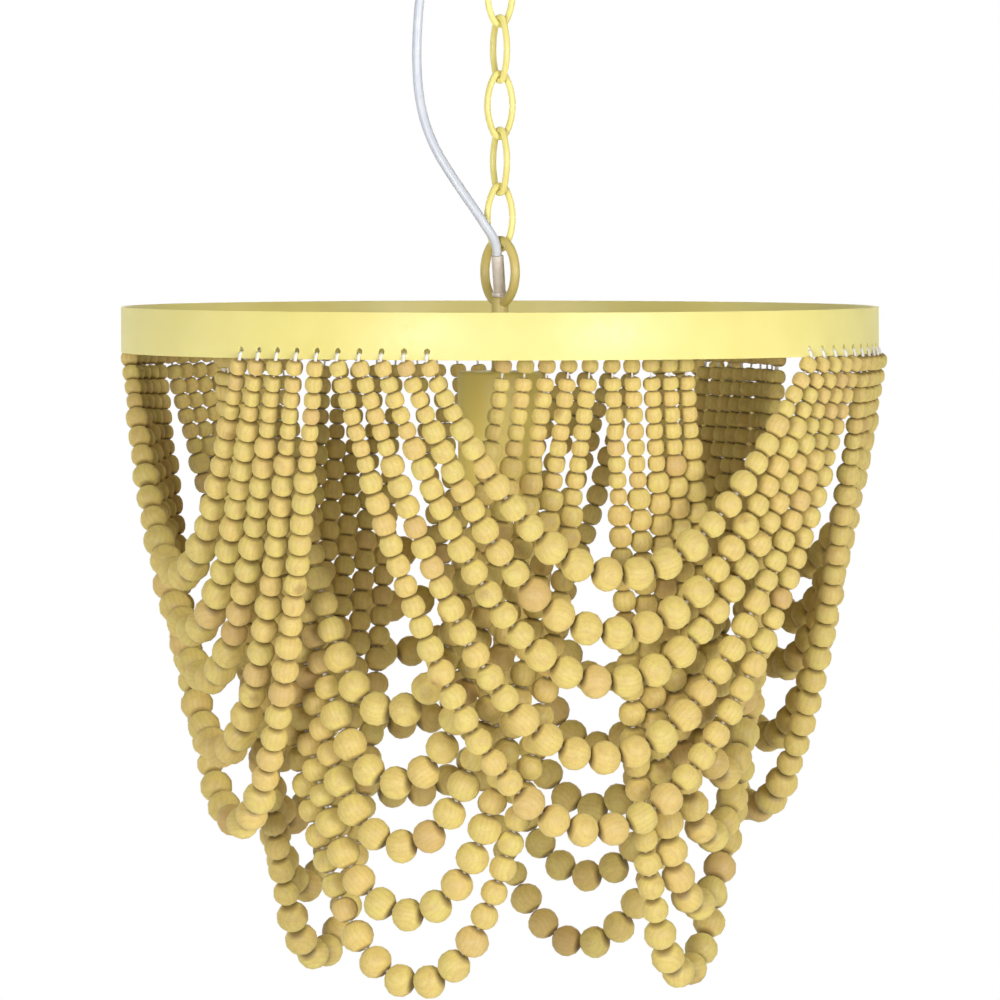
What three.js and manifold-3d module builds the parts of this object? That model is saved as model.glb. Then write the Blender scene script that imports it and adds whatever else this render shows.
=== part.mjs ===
// Beaded chandelier: wooden bead strands hang in swags from two metal rings, on a short chain.
// Millimetres, +Z up. The origin is the centre of the ceiling plate's upper face, at the ceiling.

import * as THREE from "three";
import { mergeVertices } from "three/addons/utils/BufferGeometryUtils.js";
import Module from "manifold-3d";

const wasm = await Module();
wasm.setup();

// Clearances
const touchGap = 0.3; // between pieces that touch
const overrun = 4; // how far a cutting tool runs past the wall

// Ceiling fitting
const plateRadius = 32;
const plateThickness = 3;
const cupRadius = 50;
const cupHeight = 28;
const cupWall = 1.2;
const cupCornerRadius = 8;
const glandDistance = 34; // from the axis
const glandAngle = 165; // degrees from +X
const glandNeckRadius = 4;
const glandFlangeRadius = 6.5;
const glandFlangeHeight = 3;
const glandTipRadius = 3.4;
const glandLength = 16; // below the cup
const hookWire = 4.5; // diameter
const hookBendRadius = 11; // of the wire's centreline
const hookDrop = 25.4; // from the cup's underside to the centre of the bend
const hookOpening = 150; // degrees at which the hook's tip ends

// Chain
const linkCount = 5;
const linkLength = 41.4;
const linkWidth = 21;
const linkWire = 3.9; // diameter
const linkEndRadius = 5; // of the wire's centreline round a link's ends
const chainTurn = -81.5; // degrees from +X of the plane of the hook, the even links and the loop

// Loop, stem and cord grip
const loopWire = 5.6; // diameter
const loopRadius = 18.6; // of the wire's centreline
const loopRise = 15; // from the stem's top to the loop's centre
const stemRadius = 5;
const stemAboveBand = 5.4;
const gripCollarRadius = 5;
const gripCollarHeight = 2.8;
const gripRadius = 3.65;
const gripHeight = 24.8; // of the whole grip
const gripLean = 5.6; // how far its top stands off the axis, past the loop and the last link
const gripLeanTurn = 45; // degrees from the loop's plane

// Frame
const bandRadius = 225; // outer
const bandHeight = 27;
const bandWall = 1.5;
const innerRingShare = 0.7311; // of the band's radius
const innerRingWall = 1.5;
const armWidth = 12;
const armThickness = 3;
const armDrop = 12; // from the band's upper edge to the arms
const hubRadius = 15;
const nutAcrossFlats = 17;
const nutHeight = 5;

// Lamp holder
const holderDrop = 38.6; // from the band's upper edge to the holder's top
const holderRadius = 25;
const holderHeight = 75.4;
const holderWall = 1.2;
const holderEdgeRadius = 3;
const stemInHolder = 6; // how far the stem reaches into the holder
const socketRadius = 19;
const socketHeight = 50;
const socketBore = 14.8; // radius
const socketFloor = 12; // solid material above the bore
const shellWall = 0.8;
const shellHeight = 30;

// Strand holes
const groupCount = 4;
const strandsPerSwag = 5;
const holeRadius = 1.9;
const holeRise = 4.7; // from the rings' lower edge to the holes' centres
const outerPitch = 3.39; // degrees between neighbouring holes
const innerPitch = 4.36;
const outerGroupAngles = [-136.3, -42.9, 45.5, 134.5]; // degrees from +X, as drilled
const innerGroupAngles = [-90, 0, 90, 180];

// Beads, small to largest, as shares of the band's radius
const beadWidthShares = [0.0462, 0.0622, 0.0724, 0.0889];
const beadHeightShares = [0.0404, 0.0542, 0.0667, 0.0818];
const beadGap = 0.35; // of bare thread between two beads
const strandBow = 1; // how much further out each strand of a swag bows than the next longer one
const threadRadius = 0.9;
const threadAboveHole = 1; // how far the thread's end stands over the hole's centre
const threadBelowEdge = 0.6; // where the thread leaves the ring's lower edge
const neckShare = 0.45; // of a bead's radius, where two beads meet
const neckedFrom = 3; // the first size whose beads are parted by a neck
const ringShare = 1; // circumradius of a three-sided section, as a share of the bead's radius
// For each strand of a swag: small, medium and large beads on each side, and the largest in the middle
const outerBeadCount = [
  [4, 3, 3, 6],
  [4, 5, 3, 7],
  [5, 5, 5, 6],
  [6, 7, 5, 7],
  [7, 8, 7, 6],
];
const innerBeadCount = [
  [5, 6, 3, 6],
  [6, 8, 3, 7],
  [7, 8, 5, 7],
  [8, 8, 6, 9],
  [9, 8, 10, 6],
];

// Facets
const ringSegments = 64;
const innerRingSegments = 48;
const latheSegments = 20;
const wireSides = 6;
const linkSteps = 16;
const loopSides = 8;
const loopSteps = 20;
const hookSteps = 20;
const cordSides = 8;
const cordSteps = 30;
const strandSides = 3;

// Sizes worked out from the band's
const innerRingRadius = bandRadius * innerRingShare; // outer
const beadWidths = beadWidthShares.map((share) => share * bandRadius);
const beadHeights = beadHeightShares.map((share) => share * bandRadius);

// Heights worked out from the ceiling down
const hookCentre = -(cupHeight + hookDrop);
const hookSeat = hookCentre - hookBendRadius + hookWire / 2 + touchGap;
const linkPitch = linkLength - 2 * linkWire - touchGap;
const firstLink = hookSeat + linkWire - linkLength / 2;
const lastLink = firstLink - (linkCount - 1) * linkPitch;
const loopSeat = lastLink - linkLength / 2 + linkWire + touchGap;
const loopCentre = loopSeat + loopWire / 2 - loopRadius;
const stemTop = loopCentre - loopRise;
const bandTop = stemTop - stemAboveBand;
const bandBottom = bandTop - bandHeight;
const holeHeight = bandBottom + holeRise;
const armTop = bandTop - armDrop;
const armBottom = armTop - armThickness;
const holderTop = bandTop - holderDrop;
const holderBottom = holderTop - holderHeight;
const stemBottom = holderTop - stemInHolder;
const socketTop = stemBottom - touchGap;
const socketBottom = socketTop - socketHeight;

// The cord's route above the band's upper edge, from the grip to the ceiling, chosen by hand
const cordRadius = 2.8;
const cordPoints = [
  [-5.8, -6.5, 39],
  [-8.6, -7.3, 43.2],
  [-12.4, -7.4, 48.5],
  [-16.2, -6.5, 54.5],
  [-23.9, -3, 66.7],
  [-31.1, 1, 78.8],
  [-37.5, 4.8, 91],
  [-42.1, 8.1, 103],
  [-45.3, 10.3, 115.3],
  [-47, 11.8, 127.4],
  [-47.7, 12.7, 139.5],
  [-47.7, 13.3, 151.6],
  [-46.8, 13.4, 169.8],
  [-45.4, 13.3, 184],
  [-42.1, 12.3, 200],
  [-36.6, 10.5, 214],
];

const root = new THREE.Group();

function material(color, roughness, metalness) {
  return new THREE.MeshStandardMaterial({ color, roughness, metalness });
}

const finishes = {
  frame: material(0xeee08c, 0.5, 0.1),
  chain: material(0xf4eb9a, 0.45, 0.1),
  loop: material(0xd2c168, 0.5, 0.1),
  beads: material(0xdcc680, 0.75, 0),
  sleeve: material(0xc9c0b8, 0.4, 0),
  cord: material(0xf2f0ea, 0.4, 0),
  socket: material(0xeceae4, 0.45, 0),
  brass: material(0xc8a24a, 0.35, 0.9),
};

function addPiece(name, geometry, finish) {
  const mesh = new THREE.Mesh(geometry, finishes[finish].clone());
  mesh.name = name;
  root.add(mesh);
  return mesh;
}

function radians(degrees) {
  return THREE.MathUtils.degToRad(degrees);
}

function aroundAxis(radius, degrees, height) {
  const angle = radians(degrees);
  return new THREE.Vector3(radius * Math.cos(angle), radius * Math.sin(angle), height);
}

// A closed geometry as a solid for cutting and joining
function toSolid(geometry) {
  const bare = geometry.clone();
  bare.deleteAttribute("normal");
  bare.deleteAttribute("uv");
  const merged = mergeVertices(bare);
  const vertProperties = merged.attributes.position.array;
  const triVerts = new Uint32Array(merged.index.array);
  return new wasm.Manifold(new wasm.Mesh({ numProp: 3, vertProperties, triVerts }));
}

function toGeometry(solid) {
  const mesh = solid.getMesh();
  const geometry = new THREE.BufferGeometry();
  geometry.setAttribute("position", new THREE.BufferAttribute(mesh.vertProperties, 3));
  geometry.setIndex(new THREE.BufferAttribute(mesh.triVerts, 1));
  return geometry;
}

// A profile of [radius, height] points turned about +Z
function revolve(profile, segments = latheSegments) {
  const points = profile.map(([radius, height]) => new THREE.Vector2(radius, height));
  return new THREE.LatheGeometry(points, segments).rotateX(Math.PI / 2);
}

// A polygon of the wire's section, swept along a curve
function sweep(curve, radius, sides, steps) {
  const section = new THREE.Shape();
  for (let i = 0; i < sides; i++) {
    const angle = (i * 2 * Math.PI) / sides;
    const place = [radius * Math.cos(angle), radius * Math.sin(angle)];
    if (i === 0) section.moveTo(...place);
    else section.lineTo(...place);
  }
  return new THREE.ExtrudeGeometry(section, { extrudePath: curve, steps, bevelEnabled: false });
}

// A cylinder from one point to another
function rod(from, to, radius, sides) {
  const along = to.clone().sub(from);
  const up = new THREE.Vector3(0, 1, 0);
  const turn = new THREE.Quaternion().setFromUnitVectors(up, along.clone().normalize());
  const middle = from.clone().add(to).multiplyScalar(1 / 2);
  const shape = new THREE.CylinderGeometry(radius, radius, along.length(), sides);
  return shape.applyQuaternion(turn).translate(middle.x, middle.y, middle.z);
}

// Ceiling fitting
function makeCeilingPlate() {
  const profile = [
    [0, -plateThickness],
    [plateRadius, -plateThickness],
    [plateRadius, 0],
    [0, 0],
  ];
  addPiece("ceiling_plate", revolve(profile), "frame");
}

function cornerArc(centreRadius, centreHeight, radius) {
  const turns = [-90, -45, 0];
  return turns.map((degrees) => [
    centreRadius + radius * Math.cos(radians(degrees)),
    centreHeight + radius * Math.sin(radians(degrees)),
  ]);
}

function makeCeilingCup() {
  const shankHole = hookWire / 2 + touchGap;
  const cornerPlace = cupRadius - cupCornerRadius;
  const cornerHeight = cupCornerRadius - cupHeight;
  const outside = cornerArc(cornerPlace, cornerHeight, cupCornerRadius);
  const inside = cornerArc(cornerPlace, cornerHeight, cupCornerRadius - cupWall).reverse();
  const profile = [
    [shankHole, -cupHeight],
    ...outside,
    [cupRadius, 0],
    [cupRadius - cupWall, 0],
    ...inside,
    [shankHole, cupWall - cupHeight],
    [shankHole, -cupHeight],
  ];
  const place = aroundAxis(glandDistance, glandAngle, -cupHeight);
  const below = place.clone().setZ(-cupHeight - overrun);
  const above = place.clone().setZ(-cupHeight + overrun);
  const hole = rod(below, above, glandNeckRadius + touchGap, 12);
  const cup = toSolid(revolve(profile)).subtract(toSolid(hole));
  addPiece("ceiling_cup", toGeometry(cup), "frame");
}

function makeCordGland() {
  const flangeTop = -cupHeight - touchGap;
  const profile = [
    [0, -cupHeight - glandLength],
    [glandTipRadius, -cupHeight - glandLength],
    [glandNeckRadius, flangeTop - glandFlangeHeight],
    [glandFlangeRadius, flangeTop - glandFlangeHeight],
    [glandFlangeRadius, flangeTop],
    [glandNeckRadius, flangeTop],
    [glandNeckRadius, cupWall - cupHeight + touchGap],
    [0, cupWall - cupHeight + touchGap],
  ];
  const place = aroundAxis(glandDistance, glandAngle, 0);
  addPiece("cord_gland", revolve(profile, 16).translate(place.x, place.y, 0), "sleeve");
}

// The hook's wire: a straight shank, a curve out to the bend's side, then the bend
function makeCeilingHook() {
  const shankEnd = hookCentre + hookBendRadius + hookWire;
  const half = (shankEnd - hookCentre) / 2;
  const side = new THREE.CubicBezierCurve(
    new THREE.Vector2(0, shankEnd),
    new THREE.Vector2(0, shankEnd - half),
    new THREE.Vector2(hookBendRadius, hookCentre + half),
    new THREE.Vector2(hookBendRadius, hookCentre),
  );
  const flat = [new THREE.Vector2(0, -plateThickness - touchGap)];
  flat.push(new THREE.Vector2(0, (shankEnd - plateThickness) / 2));
  flat.push(...side.getPoints(4));
  for (let degrees = -30; degrees >= hookOpening - 360; degrees -= 30) {
    const across = hookBendRadius * Math.cos(radians(degrees));
    flat.push(new THREE.Vector2(across, hookCentre + hookBendRadius * Math.sin(radians(degrees))));
  }
  const points = flat.map((point) => new THREE.Vector3(point.x, 0, point.y));
  const curve = new THREE.CatmullRomCurve3(points);
  const wire = sweep(curve, hookWire / 2, wireSides, hookSteps).rotateZ(radians(chainTurn));
  addPiece("ceiling_hook", wire, "chain");
}

// A link's centreline where its outward side faces an angle: small arcs at the ends, large at the sides
function linkPlace(angle) {
  const halfWidth = (linkWidth - linkWire) / 2;
  const endCentre = (linkLength - linkWire) / 2 - linkEndRadius;
  const sideRadius =
    (halfWidth ** 2 + endCentre ** 2 - linkEndRadius ** 2) / (2 * (halfWidth - linkEndRadius));
  const sideCentre = sideRadius - halfWidth;
  const [right, up] = [Math.sign(Math.cos(angle)), Math.sign(Math.sin(angle))];
  const facing = new THREE.Vector2(Math.cos(angle), Math.sin(angle));
  const atEnd = Math.abs(facing.y) * sideCentre > Math.abs(facing.x) * endCentre;
  if (atEnd) return facing.multiplyScalar(linkEndRadius).add(new THREE.Vector2(0, up * endCentre));
  return facing.multiplyScalar(sideRadius).sub(new THREE.Vector2(right * sideCentre, 0));
}

// A link: a ring bent to an oval
function makeLink(number) {
  const bendRadius = (linkWidth - linkWire) / 2;
  const ring = new THREE.TorusGeometry(bendRadius, linkWire / 2, wireSides, linkSteps);
  ring.rotateZ(Math.PI / linkSteps);
  const places = ring.attributes.position;
  for (let i = 0; i < places.count; i++) {
    const angle = Math.atan2(places.getY(i), places.getX(i));
    const outwards = Math.hypot(places.getX(i), places.getY(i)) - bendRadius;
    const place = linkPlace(angle);
    places.setX(i, place.x + outwards * Math.cos(angle));
    places.setY(i, place.y + outwards * Math.sin(angle));
  }
  const turn = chainTurn + (number % 2 === 1 ? 90 : 0);
  const height = firstLink - (number - 1) * linkPitch;
  const link = ring.rotateX(Math.PI / 2).rotateZ(radians(turn)).translate(0, 0, height);
  addPiece(`chain_link_${number}`, link, "chain");
}

// Loop, stem and cord grip
function makeLoop() {
  const ring = new THREE.TorusGeometry(loopRadius, loopWire / 2, loopSides, loopSteps);
  ring.rotateX(Math.PI / 2).rotateZ(radians(chainTurn)).translate(0, 0, loopCentre);
  const low = new THREE.Vector3(0, 0, loopCentre - loopRadius - loopWire);
  const high = new THREE.Vector3(0, 0, loopCentre);
  const stemSpace = rod(low, high, stemRadius + touchGap, latheSegments);
  addPiece("stem_loop", toGeometry(toSolid(ring).subtract(toSolid(stemSpace))), "loop");
}

function makeStem() {
  const chamfer = stemRadius / 6;
  const profile = [
    [0, stemBottom],
    [stemRadius - chamfer, stemBottom],
    [stemRadius, stemBottom + chamfer],
    [stemRadius, stemTop - chamfer],
    [stemRadius - chamfer, stemTop],
    [0, stemTop],
  ];
  addPiece("stem", revolve(profile), "frame");
}

function gripTop() {
  return aroundAxis(gripLean, chainTurn - gripLeanTurn, stemTop + gripHeight);
}

function makeCordGrip() {
  const foot = new THREE.Vector3(0, 0, stemTop + touchGap);
  const collarTop = foot.clone().setZ(foot.z + gripCollarHeight);
  const collar = rod(foot, collarTop, gripCollarRadius, 16);
  const start = foot.clone().setZ(foot.z + gripCollarHeight / 2);
  const sleeve = rod(start, gripTop(), gripRadius, 16);
  addPiece("cord_grip", toGeometry(toSolid(collar).add(toSolid(sleeve))), "sleeve");
}

function makeStemNut() {
  const circumradius = nutAcrossFlats / 2 / Math.cos(Math.PI / 6);
  const bottom = armTop + touchGap;
  const centre = new THREE.Vector3(0, 0, bottom);
  const body = rod(centre, centre.clone().setZ(bottom + nutHeight), circumradius, 6);
  const low = centre.clone().setZ(bottom - overrun);
  const bore = rod(low, centre.clone().setZ(bottom + nutHeight + overrun), stemRadius + touchGap, 24);
  addPiece("stem_nut", toGeometry(toSolid(body).subtract(toSolid(bore))), "frame");
}

// Frame: four flat arms on a hub, the outer band and the inner ring
function makeCrossFrame() {
  const facetShare = Math.cos(Math.PI / ringSegments);
  const reach = (bandRadius - bandWall) * facetShare - touchGap;
  const half = armWidth / 2;
  const points = [];
  for (let arm = 0; arm < groupCount; arm++) {
    const turn = (arm * 2 * Math.PI) / groupCount;
    const corners = [
      [hubRadius, -half],
      [reach, -half],
      [reach, half],
      [hubRadius, half],
    ];
    for (const [along, across] of corners) {
      const corner = new THREE.Vector2(along, across);
      points.push(corner.rotateAround(new THREE.Vector2(), turn));
    }
  }
  const outline = new THREE.Shape(points);
  const hole = new THREE.Path();
  hole.absarc(0, 0, stemRadius + touchGap, 0, 2 * Math.PI, true);
  outline.holes.push(hole);
  const settings = { depth: armThickness, bevelEnabled: false, curveSegments: 12 };
  const cross = new THREE.ExtrudeGeometry(outline, settings).translate(0, 0, armBottom);
  addPiece("cross_frame", cross, "frame");
}

function holeAngles(groupAngles, pitch) {
  const holes = 2 * strandsPerSwag;
  const angles = [];
  for (const centre of groupAngles) {
    for (let i = 0; i < holes; i++) angles.push(centre + (i - (holes - 1) / 2) * pitch);
  }
  return angles;
}

// A hoop of flat strip, with the strands' holes drilled through it
function drilledHoop(radius, wall, top, segments, angles, holeSides) {
  const profile = [
    [radius - wall, bandBottom],
    [radius, bandBottom],
    [radius, top],
    [radius - wall, top],
    [radius - wall, bandBottom],
  ];
  let hoop = toSolid(revolve(profile, segments));
  for (const angle of angles) {
    const from = aroundAxis(radius - wall - overrun, angle, holeHeight);
    const to = aroundAxis(radius + overrun, angle, holeHeight);
    hoop = hoop.subtract(toSolid(rod(from, to, holeRadius, holeSides)));
  }
  return toGeometry(hoop);
}

function makeOuterBand() {
  const angles = holeAngles(outerGroupAngles, outerPitch);
  const hoop = drilledHoop(bandRadius, bandWall, bandTop, ringSegments, angles, 6);
  addPiece("outer_band", hoop, "frame");
}

function makeInnerRing() {
  const angles = holeAngles(innerGroupAngles, innerPitch);
  const top = armBottom - touchGap;
  const hoop = drilledHoop(innerRingRadius, innerRingWall, top, innerRingSegments, angles, 4);
  addPiece("inner_ring", hoop, "frame");
}

// Lamp holder
function makeHolderCup() {
  const hole = stemRadius + touchGap;
  const edgePlace = holderRadius - holderEdgeRadius;
  const edgeHeight = holderTop - holderEdgeRadius;
  const outside = cornerArc(edgePlace, edgeHeight, holderEdgeRadius).map(mirrorAbout(edgeHeight));
  const innerEdge = holderEdgeRadius - holderWall;
  const inside = cornerArc(edgePlace, edgeHeight, innerEdge).map(mirrorAbout(edgeHeight));
  const profile = [
    [holderRadius - holderWall, holderBottom],
    [holderRadius, holderBottom],
    ...outside.reverse(),
    [hole, holderTop],
    [hole, holderTop - holderWall],
    ...inside,
    [holderRadius - holderWall, holderBottom],
  ];
  addPiece("holder_cup", revolve(profile), "frame");
}

function mirrorAbout(height) {
  return ([radius, place]) => [radius, 2 * height - place];
}

function makeHolderSocket() {
  const boreTop = socketTop - socketFloor;
  const shoulder = socketRadius / 4;
  const profile = [
    [socketBore, socketBottom],
    [socketRadius, socketBottom],
    [socketRadius, socketTop - shoulder],
    [socketRadius - shoulder, socketTop],
    [0, socketTop],
    [0, boreTop],
    [socketBore, boreTop],
    [socketBore, socketBottom],
  ];
  addPiece("holder_socket", revolve(profile), "socket");
}

function makeScrewShell() {
  const outer = socketBore - touchGap;
  const top = socketTop - socketFloor - touchGap;
  const bottom = top - shellHeight;
  const profile = [
    [outer - shellWall, bottom],
    [outer, bottom],
    [outer, top],
    [0, top],
    [0, top - shellWall],
    [outer - shellWall, top - shellWall],
    [outer - shellWall, bottom],
  ];
  addPiece("screw_shell", revolve(profile), "brass");
}

// The sizes of a strand's beads in order, small at the ends and largest in the middle
function beadOrder([small, medium, large, largest]) {
  const side = [...Array(small).fill(0), ...Array(medium).fill(1), ...Array(large).fill(2)];
  return [...side, ...Array(largest).fill(3), ...side.slice().reverse()];
}

// Where a loaded thread hangs: each bead's weight pulls the thread down, and the pull along
// the span is the same everywhere. It is found by halving until the thread fills the span.
function hangingBeads(order, span) {
  const half = order.map((size) => (beadHeights[size] + beadGap) / 2);
  const reaches = [half[0]];
  for (let i = 1; i < order.length; i++) reaches.push(half[i - 1] + half[i]);
  reaches.push(half[order.length - 1]);
  const weights = order.map((size) => beadWidths[size] ** 2 * beadHeights[size]);
  const total = weights.reduce((sum, weight) => sum + weight, 0);
  let carried = total / 2;
  const lifts = [carried];
  for (const weight of weights) {
    carried -= weight;
    lifts.push(carried);
  }
  const spread = (pull) =>
    reaches.reduce((sum, reach, i) => sum + (reach * pull) / Math.hypot(pull, lifts[i]), 0);
  let low = 0;
  let high = total * total;
  for (let i = 0; i < 200; i++) {
    const pull = (low + high) / 2;
    if (spread(pull) < span) low = pull;
    else high = pull;
  }
  const places = [];
  let along = 0;
  let drop = 0;
  reaches.forEach((reach, i) => {
    const tension = Math.hypot(high, lifts[i]);
    along += (reach * high) / tension;
    drop += (reach * lifts[i]) / tension;
    places.push([along, drop]);
  });
  return places.slice(0, -1);
}

// The rings of points of one strand: thread, beads and thread
function strandRings(start, end, order, bow) {
  const span = Math.hypot(end.x - start.x, end.y - start.y);
  const chord = end.clone().sub(start).setZ(0).normalize();
  const outward = new THREE.Vector3(chord.y, -chord.x, 0);
  const edge = bandBottom - threadBelowEdge;
  const centres = hangingBeads(order, span).map(([along, drop]) => {
    const place = start.clone().addScaledVector(chord, along).setZ(edge - drop);
    return place.addScaledVector(outward, bow * Math.sin((Math.PI * along) / span));
  });
  const down = new THREE.Vector3(0, 0, -1);
  const up = new THREE.Vector3(0, 0, 1);
  const threadTop = holeHeight + threadAboveHole;
  const corner = Math.PI / strandSides;
  const rings = [{ place: start.clone().setZ(threadTop), along: down, radius: threadRadius, turn: 0 }];
  rings.push({ place: start.clone().setZ(edge), along: down, radius: threadRadius, turn: 0 });
  let turn = 0;
  centres.forEach((place, i) => {
    const before = centres[i - 1] ?? start.clone().setZ(edge);
    const after = centres[i + 1] ?? end.clone().setZ(edge);
    const along = after.clone().sub(before).normalize();
    const radius = (beadWidths[order[i]] / 2) * ringShare;
    const necked = order[i] >= neckedFrom || (order[i - 1] ?? 0) >= neckedFrom;
    if (necked) {
      const towards = place.clone().sub(before).normalize();
      const reach = (beadHeights[order[i]] + beadGap) / 2;
      const neck = place.clone().addScaledVector(towards, -reach);
      rings.push({ place: neck, along: towards, radius: radius * neckShare, turn });
    } else turn += corner;
    rings.push({ place, along, radius, turn });
  });
  rings.push({ place: end.clone().setZ(edge), along: up, radius: threadRadius, turn });
  rings.push({ place: end.clone().setZ(threadTop), along: up, radius: threadRadius, turn });
  return { rings, across: outward };
}

// A closed skin over rings of points
function skinOver(rings, across) {
  const positions = [];
  for (const { place, along, radius, turn } of rings) {
    const other = along.clone().cross(across);
    for (let j = 0; j < strandSides; j++) {
      const angle = turn + (j * 2 * Math.PI) / strandSides;
      const point = place.clone().addScaledVector(across, radius * Math.cos(angle));
      point.addScaledVector(other, radius * Math.sin(angle));
      positions.push(point.x, point.y, point.z);
    }
  }
  const faces = [0, 2, 1];
  for (let i = 0; i + 1 < rings.length; i++) {
    for (let j = 0; j < strandSides; j++) {
      const here = i * strandSides;
      const next = here + strandSides;
      const k = (j + 1) % strandSides;
      faces.push(here + j, here + k, next + j, here + k, next + k, next + j);
    }
  }
  const last = (rings.length - 1) * strandSides;
  faces.push(last, last + 1, last + 2);
  const geometry = new THREE.BufferGeometry();
  geometry.setAttribute("position", new THREE.Float32BufferAttribute(positions, 3));
  geometry.setIndex(faces);
  return geometry;
}

// The five nested strands between one group of holes and the next
function makeSwag(name, groupAngles, group, pitch, radius, counts) {
  const from = groupAngles[group];
  const to = groupAngles[(group + 1) % groupCount];
  const offset = radius + touchGap + threadRadius;
  counts.forEach((count, k) => {
    const step = (strandsPerSwag - k - 1 / 2) * pitch;
    const start = aroundAxis(offset, from + step, 0);
    const end = aroundAxis(offset, to - step, 0);
    const bow = ((strandsPerSwag - 1) / 2 - k) * strandBow;
    const { rings, across } = strandRings(start, end, beadOrder(count), bow);
    addPiece(`${name}_swag_${group + 1}_strand_${k + 1}`, skinOver(rings, across), "beads");
  });
}

function makeCord() {
  const tip = aroundAxis(glandDistance, glandAngle, -cupHeight - glandLength - touchGap);
  const leave = gripTop().sub(new THREE.Vector3(0, 0, stemTop)).normalize();
  const first = gripTop().addScaledVector(leave, touchGap);
  const second = first.clone().addScaledVector(leave, cordRadius);
  const route = cordPoints.map(([x, y, z]) => new THREE.Vector3(x, y, bandTop + z));
  const before = tip.clone().setZ(tip.z - cordRadius);
  const curve = new THREE.CatmullRomCurve3([first, second, ...route, before, tip]);
  addPiece("cord", sweep(curve, cordRadius, cordSides, cordSteps), "cord");
}

makeCeilingPlate();
makeCeilingCup();
makeCordGland();
makeCeilingHook();
for (let number = 1; number <= linkCount; number++) makeLink(number);
makeLoop();
makeStem();
makeCordGrip();
makeStemNut();
makeCrossFrame();
makeOuterBand();
makeInnerRing();
makeHolderCup();
makeHolderSocket();
makeScrewShell();
makeCord();
for (let group = 0; group < groupCount; group++) {
  makeSwag("outer", outerGroupAngles, group, outerPitch, bandRadius, outerBeadCount);
  makeSwag("inner", innerGroupAngles, group, innerPitch, innerRingRadius, innerBeadCount);
}

export default root;
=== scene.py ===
"""Beaded chandelier: every visible piece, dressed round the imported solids.

Sizes in the classes are millimetres, as in the part's source, and become metres as a piece is made.
"""

import logging
import math
import random
from dataclasses import dataclass, field
from enum import Enum
from functools import cached_property
from typing import Callable, Iterable, Sequence

import bmesh
import bpy
from bpy.types import Material, Node, NodeTree, Object
from mathutils import Matrix, Vector
from mathutils.geometry import interpolate_bezier


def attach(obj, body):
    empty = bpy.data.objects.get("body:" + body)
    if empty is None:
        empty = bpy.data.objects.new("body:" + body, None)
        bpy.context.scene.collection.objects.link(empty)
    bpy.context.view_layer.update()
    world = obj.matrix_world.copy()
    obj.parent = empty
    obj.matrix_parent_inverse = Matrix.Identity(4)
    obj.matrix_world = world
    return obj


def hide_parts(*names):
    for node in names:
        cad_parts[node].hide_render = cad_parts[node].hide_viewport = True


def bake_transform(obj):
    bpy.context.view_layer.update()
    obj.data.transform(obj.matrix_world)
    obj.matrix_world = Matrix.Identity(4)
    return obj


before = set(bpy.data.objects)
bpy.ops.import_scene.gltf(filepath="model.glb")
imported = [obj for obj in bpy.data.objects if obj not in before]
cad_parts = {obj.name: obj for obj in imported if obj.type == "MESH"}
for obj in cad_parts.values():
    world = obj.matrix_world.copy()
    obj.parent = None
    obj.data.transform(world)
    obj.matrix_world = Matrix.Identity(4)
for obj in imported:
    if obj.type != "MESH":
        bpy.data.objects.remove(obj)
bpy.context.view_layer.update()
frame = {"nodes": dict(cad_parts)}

MM = 0.001
SEED = 20
OVERRUN = 6  # how far a cutting tool reaches past what it cuts

log = logging.getLogger("chandelier")

Point = tuple[float, float, float]
Pair = tuple[float, float]
Test = Callable[[Vector], bool]


class Body(Enum):
    """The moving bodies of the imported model."""

    CEILING = "ceiling"
    LINK_1 = "link_1"
    LINK_2 = "link_2"
    LINK_3 = "link_3"
    LINK_4 = "link_4"
    LINK_5 = "link_5"
    LAMP = "lamp"


class Slot(Enum):
    """The material slots."""

    FRAME_PAINT = "frame_paint"
    CHAIN_PAINT = "chain_paint"
    LOOP_PAINT = "loop_paint"
    WOOD_BEAD = "wood_bead"
    CLEAR_SLEEVE = "clear_sleeve"
    CORD_SHEATH = "cord_sheath"
    SOCKET_PLASTIC = "socket_plastic"
    SHELL_BRASS = "shell_brass"


class Element(Enum):
    """What a selection in edit mode picks."""

    POINTS = "VERT"
    EDGES = "EDGE"
    FACES = "FACE"


class BeadSize(Enum):
    """The four sizes of bead, from the rings down."""

    SMALL = 0
    MEDIUM = 1
    LARGE = 2
    LARGEST = 3


# Places and colours


def metres(place: Iterable[float]) -> Vector:
    """Returns a place in millimetres as a vector in metres."""
    return Vector(place) * MM


def axis(height: float) -> Vector:
    """Returns the point of the lamp's axis at a height."""
    return Vector((0, 0, height))


def around_axis(radius: float, degrees: float, height: float = 0.0) -> Vector:
    """Places a point round the lamp's axis.

    Args:
        radius: Distance from the axis, in millimetres.
        degrees: Angle from +X.
        height: Height, in millimetres.

    Returns:
        The point, in millimetres.
    """
    angle = math.radians(degrees)
    return Vector((radius * math.cos(angle), radius * math.sin(angle), height))


def arc(middle: Pair, radius: float, start: float, end: float, steps: int) -> list[Pair]:
    """Draws a part of a profile as an arc.

    Args:
        middle: The arc's centre, in millimetres.
        radius: Its radius, in millimetres.
        start: The angle of its first point, in degrees.
        end: The angle of its last point.
        steps: The number of steps between them.

    Returns:
        The arc's points.
    """
    turns = [math.radians(start + (end - start) * i / steps) for i in range(steps + 1)]
    return [(middle[0] + radius * math.cos(t), middle[1] + radius * math.sin(t)) for t in turns]


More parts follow.
